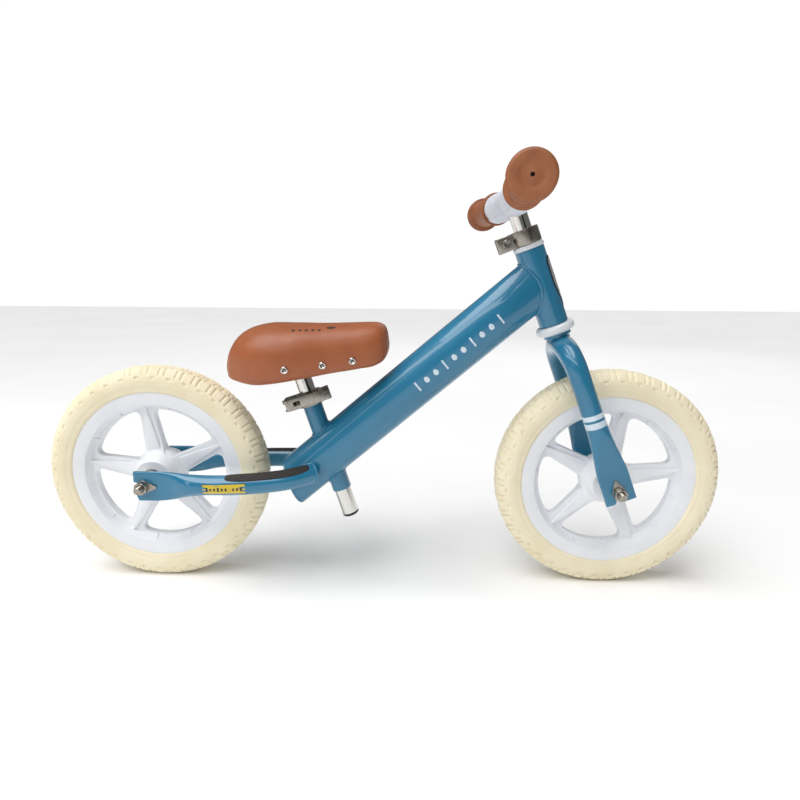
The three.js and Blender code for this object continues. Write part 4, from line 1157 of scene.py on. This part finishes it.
def tyre_profile(count):
    """Evenly spaced [radius, y] over the tyre from one bead to the other, by distance along rounded
    corners."""
    half = [
        (112.6, 17.2), (113.0, 18.0), (119, 20.0), (126, 21.0), (133, 20.2), (138.6, 17.6), (142.6, 13.8),
            (144.6, 10.0),
        (145.0, 5.0), (145.0, 0.0),
    ]
    knots = np.array(half + [(radius, -y) for radius, y in half[-2::-1]])
    flat = np.column_stack([knots, np.zeros(len(knots))])
    at = np.linspace(0, length_of(flat), count)
    return through(flat, at)[:, :2]


def near(value, period):
    """The distance from a multiple of a period."""
    return np.abs((value + period / 2) % period - period / 2)


def build_tyre(label, centre):
    """A foam tyre. Its tread stands in brick blocks between zigzag grooves: the depth taken off is a
    smooth function of
    the turn t, counted in treads, and of the distance y from the middle plane."""
    profile = tyre_profile(84)
    angle = np.arange(TREADS * 24) / (TREADS * 24) * TURN
    t = angle[:, None] / TURN * TREADS
    radius, y = profile[None, :, 0], profile[None, :, 1]
    out = np.gradient(profile, axis=0)
    out = np.stack([-out[:, 1], out[:, 0]], -1) / np.linalg.norm(out, axis=1, keepdims=True)
    out = out * np.sign(out @ np.array([1.0, 0.0]) + 1e-9)[:, None]
    out[np.abs(profile[:, 1]) > 20.4] = np.stack([0 * out[:, 0], np.sign(profile[:, 1])],
        -1)[np.abs(profile[:, 1]) > 20.4]
    zig = 2.2 * (np.abs(near(t, 1.0) * 4 - 1) - 0.5)
    groove = lambda away, half: 1 - ease((away - half) / 0.9)
    crown = 1 - ease((np.abs(y) - 9.5) / 1.5)
    line_middle = groove(np.abs(y - zig), 0.5)
    line_sides = groove(np.abs(np.abs(y) - 7.0 - 0.5 * zig * np.sign(y)), 0.5)
    cross_inner = groove(near(t + 0.25 * np.sign(y), 0.5) * 22.8, 0.5) * (np.abs(y - zig) < 6.4)
    crown_cut = crown * np.maximum(np.maximum(line_middle, line_sides), cross_inner)
    shoulder = ease((np.abs(y) - 8.6) / 1.0) * ease((radius - 135.2) / 1.6)
    shoulder_cut = shoulder * np.maximum(groove(near(t, 1.0) * 21, 0.7),
        groove(near(t - 0.34, 1.0) * 21, 0.5))
    along = near(t - 0.67, 1.0) * 21
    pit = (1 - ease((np.hypot(along / 3.4, (radius - 132.6) / 1.7) - 0.6) / 0.5)) * (np.abs(y) > 12)
    rings = 0.28 * (np.exp(-(((radius - 118.4) / 0.7) ** 2)) + np.exp(-(((radius - 122.4) / 0.7) ** 2)))
    bumps = -0.8 * crown * (1 - ease(near(t + 0.17, 1.0) * 3.2))
    lift = bumps + rings - 1.5 * crown_cut - 1.7 * shoulder_cut - 1.7 * pit
    placed_radius = radius + lift * out[None, :, 0]
    placed_y = y + lift * out[None, :, 1]
    a = angle[:, None]
    skin = centre + np.stack([placed_radius * np.cos(a), placed_y, placed_radius * np.sin(a)], -1)
    under = centre + np.stack([110.5 * np.cos(a), 0 * a, 110.5 * np.sin(a)], -1)
    body = np.concatenate([skin, under], 1)
    piece(label + "_tyre_foam", [(body, True, True)], CREAM, label + "_wheel",
        [label + "_tyre"], crease=70)


# The axle, its washers and its nuts stay still while the wheel turns.
STANDS_ON = {"rear": "frame", "front": "fork"}


def build_wheel(label, centre, tab):
    """Rim, tyre and the hardware at each end of the axle."""
    build_rim(label, centre)
    build_tyre(label, centre)
    face = DROPOUT_Y + DROPOUT_THICK / 2 + GAP
    tab_angle = np.radians(tab)
    ahead = np.array([np.cos(tab_angle), 0.0, np.sin(tab_angle)])
    above = np.array([-np.sin(tab_angle), 0.0, np.cos(tab_angle)])
    for name, side in SIDES.items():
        plan = np.vstack([[(17.5, 0.9), (16.9, 1.6)], arc(8.5, 62, 298, 40), [(16.9, -1.6), (17.5, -0.9)]])
        low = side * face if side > 0 else side * face - 1.6
        sheet, fills = plate(plan, low, low + 1.6, 0.35, across(centre, ahead, above))
        body = STANDS_ON[label]
        piece(f"{label}_washer_{name}", [sheet], ZINC, body, [f"{label}_tab_washer_{name}"],
            fills)
        nut = hex_nut(centre + side * (face + 1.6 + GAP) * ACROSS, side * ACROSS, 15, 5.05, 7)
        piece(f"{label}_nut_{name}", [nut], ZINC, body, [f"{label}_axle_nut_{name}"])
    rod = [(0.01, -74), (3.9, -74), (4.7, -73.2)]
    ridges = [(4.75 - 0.3 * (i % 2), -73 + 0.6 * i) for i in range(22)]
    half = rod + ridges + [(4.75, -58)]
    profile = half + [(radius, -y) for radius, y in half[::-1]]
    thread = turned(profile, centre, ACROSS, 40)
    piece(label + "_axle_rod", [(thread, False, True)], ZINC, STANDS_ON[label],
        [label + "_axle"])


# ---------------------------------------------------------------- saddle
SADDLE_KNOTS = [  # x, half width, crown, underside: from the tail to the nose
    [-103.8, 0, 17, 14],
    [-102.6, 12, 25, 9],
    [-97, 24, 38, 6],
    [-88, 35, 51, 3],
    [-76, 45.5, 61, -0.5],
    [-62, 54, 66.6, -3.6],
    [-42, 59.5, 68.6, -4.6],
    [-10, 57, 64.6, -3.8],
    [30, 47, 58.5, -2.8],
    [68, 40, 54, -2.2],
    [86, 36.5, 52, -1],
    [97, 31, 50, 3.5],
    [103, 23, 46.5, 10.5],
    [106, 12, 41, 19],
    [106.8, 0, 32, 29],
]


def saddle_surface(distance, angle, grow=0.0):
    """The padded top: at each distance a closed section, y = half·sin(a)^(2/2.6), and above its widest line
    z = crown·cos(a)^(2/2.4), below it the underside's share of cos(a)^(2/5)."""
    distance, angle = np.broadcast_arrays(np.asarray(distance, float), angle)
    here = through(SADDLE_KNOTS, distance)
    x, half, high, low = (here[..., i] for i in range(4))
    half = np.maximum(half, 0.01)
    widest = low + 0.4 * (high - low)
    up = np.cos(angle) > 0
    power = np.where(up, 2 / 2.35, 2 / 5.0)
    y = (half + grow) * np.sign(np.sin(angle)) * np.abs(np.sin(angle)) ** np.where(up, 2 / 2.35, 2 / 5.0)
    rise = np.where(up, high - widest + grow, widest - low + grow)
    z = widest + rise * np.sign(np.cos(angle)) * np.abs(np.cos(angle)) ** power
    return np.stack([x, y, z], -1)


def saddle_side(x, level, side):
    """The point of the saddle's side at a height below its widest line, and the outward direction there,
    both level:
    y = half·sin(a)^(2/5) where (widest - z)/(widest - low) = cos(a)^(2/5)."""
    reach = []
    for at in (x - 4, x, x + 4):
        _, half, high, low = through(SADDLE_KNOTS, np.array(at - SADDLE_KNOTS[0][0]), 1)
        widest = low + 0.4 * (high - low)
        cosine = ((widest - level) / (widest - low)) ** 2.5
        reach.append(half * (1 - cosine**2) ** 0.2)
    out = np.array([-(reach[2] - reach[0]) / 8, side, 0.0])
    return np.array([x, side * reach[1], level]), out / np.linalg.norm(out)


def build_saddle():
    """Cushion with its cavity, and rivets with their dark centres."""
    length = length_of(SADDLE_KNOTS)
    share = (1 - np.cos(np.linspace(0, np.pi, 150))) / 2
    share = 0.35 * share + 0.65 * np.linspace(0, 1, 150)
    grid = saddle_surface((length * share)[:, None], around(144))
    made = piece("saddle_padding", [(lay(closed_ends(grid), SADDLE), False, True)], LEATHER, "saddle",
        ["saddle_cushion"], crease=60)
    widths = [(-82, 32), (-66, 44), (-38, 51), (30, 39), (74, 31), (82, 24)]
    outline = rounded([(x, -w) for x, w in widths] + [(x, w) for x, w in widths[::-1]], 9, 5)
    cut(made, plate_tool(outline, -12, 20.3, on(SADDLE)), crease=60)
    centres = []
    for name, x, level in (("rear", -19.0, 14.0), ("middle", 25.0, 12.0), ("front", 61.0, 11.4)):
        for label, side in SIDES.items():
            spot, out = saddle_side(x, level, side)
            origin = lay(spot + 0.8 * out, SADDLE)
            axis = lay(out, (np.zeros(3), SADDLE[1]))
            ring = rounded(
                [(1.9, -6), (1.9, 0.5), (3.0, 1.5), (4.2, 1.1), (4.7, -0.2), (4.2, -1.4), (2.2, -6)], 0.4, 3)
            node = f"saddle_rivet_{name}_{label}"
            piece(f"saddle_eyelet_{name}_{label}", [(turned(ring, origin, axis, 40), True, True)], CHROME,
                "saddle", [node])
            plug = turned([(0.01, -3), (1.35, -3), (1.35, 0.0), (0.01, 0.3)], origin, axis, 24)
            centres.append((plug, False, True))
    piece("saddle_eyelet_centres", centres, ZINC, "saddle")


def build_saddle_marks():
    """A small plain print on each side of the saddle's top: five rounded dashes and a lozenge."""
    surface = lambda distance, angle, grow: lay(saddle_surface(distance, angle, grow), SADDLE)
    marks = []
    for side in SIDES.values():
        for i in range(5):
            marks.append(film(surface, (147.0 + 8.0 * i, side * 0.62), (5.0, 0.13), 0.15, 3.0, 3, 20, -0.2))
        marks.append(film(surface, (193.0, side * 0.5), (14.0, 0.2), 0.15, 2.0, 3, 28, -0.2))
    piece("saddle_print", marks, PRINT, "saddle")


def dress(nodes, finish):
    """Gives CAD nodes a finish in place of their own."""
    for node in nodes:
        made = bpy.data.objects[node]
        made.data.materials.clear()
        made.data.materials.append(finish)


build_fork()
build_clamps()
build_handlebar()
build_pad()
build_grips()
build_wheel("rear", REAR_AXLE, 0.0)
build_wheel("front", FRONT_AXLE, 111.5)
build_saddle()
build_saddle_marks()

hardware = ["seat_clamp_bolt", "seat_clamp_pin", "saddle_bolt_rear", "saddle_bolt_front"]
hardware += [f"{w}_{kind}_{s}" for w in ("front", "rear") for kind in ("bearing", "spacer") for s in SIDES]
dress(hardware, ZINC)
dress(["seat_post"], CHROME)
dress(["saddle_pan", "seat_post_plug"], BLACK)


# ---------------------------------------------------------------- camera, light and floor
def look(position, yaw, pitch, roll):
    """A camera at a place, turned from +Y by yaw, down by pitch and then about its own axis by roll, in
    degrees."""
    yaw, pitch, roll = np.radians([yaw, pitch, roll])
    flat = np.array([np.cos(yaw), -np.sin(yaw), 0.0])
    forward = np.array([np.cos(pitch) * np.sin(yaw), np.cos(pitch) * np.cos(yaw), -np.sin(pitch)])
    over = np.array([np.sin(pitch) * np.sin(yaw), np.sin(pitch) * np.cos(yaw), np.cos(pitch)])
    right = np.cos(roll) * flat - np.sin(roll) * over
    top = np.sin(roll) * flat + np.cos(roll) * over
    turn = Matrix(np.column_stack([right, top, -forward]).tolist()).to_4x4()
    return Matrix.Translation([value * MM for value in position]) @ turn


camera = bpy.data.objects.new("camera", bpy.data.cameras.new("camera"))
bpy.context.scene.collection.objects.link(camera)
camera.data.sensor_width = 36.0
camera.data.lens = 25.4
camera.data.clip_start = 0.02
camera.matrix_world = look((37.7, -717.4, 408.5), -1.09, 12.66, -0.37)
bpy.context.scene.camera = camera


def soft_light(name, position, target, size, power):
    """A white rectangular lamp that faces a point."""
    lamp = bpy.data.lights.new(name, "AREA")
    lamp.shape = "RECTANGLE"
    lamp.size, lamp.size_y = size
    lamp.energy = power
    made = bpy.data.objects.new(name, lamp)
    bpy.context.scene.collection.objects.link(made)
    place = Matrix.Translation(position)
    aim = (Matrix.Translation(target).to_translation() - place.to_translation()).to_track_quat("-Z", "Y")
    made.matrix_world = place @ aim.to_matrix().to_4x4()
    return made


soft_light("overhead_strip", (-1.0, -1.1, 1.6), (-0.2, 0.0, 0.25), (3.2, 0.4), 14)
soft_light("side_strip", (-1.0, -1.2, 0.75), (0.1, 0.0, 0.35), (0.06, 1.1), 0.7)
front = soft_light("front_fill", (-1.3, -2.2, 1.5), (0.0, 0.0, 0.25), (1.6, 1.2), 1)
front.visible_glossy = False
soft_light("back_fill", (0.9, 2.2, 1.6), (0.0, 0.0, 0.3), (2.0, 1.2), 6)
sun = bpy.data.lights.new("ceiling", "SUN")
sun.energy = 2.3
sun.angle = np.radians(50)
ceiling = bpy.data.objects.new("ceiling", sun)
ceiling.matrix_world = Matrix.Rotation(np.radians(11), 4, "X") @ Matrix.Rotation(np.radians(-16), 4, "Y")
bpy.context.scene.collection.objects.link(ceiling)


def dark_card(name, low, high, y):
    """A dark upright panel that only reflections see, so that plated tubes and gloss paint get their dark
    streaks."""
    mesh = bpy.data.meshes.new(name)
    mesh.from_pydata(
        [(low[0], y, low[1]), (high[0], y, low[1]), (high[0], y, high[1]), (low[0], y, high[1])], [],
            [(0, 1, 2, 3)])
    card = bpy.data.objects.new(name, mesh)
    bpy.context.scene.collection.objects.link(card)
    mesh.materials.append(BLACK)
    for rays in ("camera", "diffuse", "shadow", "transmission", "volume_scatter"):
        setattr(card, "visible_" + rays, False)
    card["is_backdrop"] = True


dark_card("card_left", (-2.6, 0.1), (-1.1, 2.4), -1.6)
dark_card("card_right", (0.75, 0.1), (1.5, 2.4), -1.6)
dark_card("card_middle", (-0.35, 0.5), (0.1, 2.4), -2.4)

world = bpy.data.worlds.new("studio")
world.use_nodes = True
backdrop = world.node_tree.nodes["Background"]
backdrop.inputs["Color"].default_value = colour("#FFFFFF")
seen = add(world.node_tree, "LightPath").outputs["Is Camera Ray"]
brightness = add(world.node_tree, "MapRange", {"To Min": 0.16, "To Max": 1.02}, {"Value": seen})
world.node_tree.links.new(brightness.outputs["Result"], backdrop.inputs["Strength"])
bpy.context.scene.world = world
bpy.context.scene.view_settings.view_transform = "Standard"

floor_mesh = bpy.data.meshes.new("floor")
reach = 6.0
corners = [(-reach, -reach, 0.0), (reach, -reach, 0.0), (reach, reach, 0.0), (-reach, reach, 0.0)]
floor_mesh.from_pydata(corners, [], [(0, 1, 2, 3)])
floor = bpy.data.objects.new("floor", floor_mesh)
bpy.context.scene.collection.objects.link(floor)
# White studio paper: matt white with faint broad patches, so the bike casts a soft shadow on it.
floor_paper = plain_finish("studio_paper_white", "#FAFAFA", "#FFFFFF", 0.9, 500, 3.0, 0.01)
floor_paper.node_tree.nodes["Principled BSDF"].inputs["Emission Color"].default_value = colour("#FFFFFF")
floor_paper.node_tree.nodes["Principled BSDF"].inputs["Emission Strength"].default_value = 0.02
floor_mesh.materials.append(floor_paper)
floor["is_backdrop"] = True

plain = lambda box: [[float(value) for value in corner] for corner in box]
{"cad": plain(CAD_BOX), "visual": plain(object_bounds())}
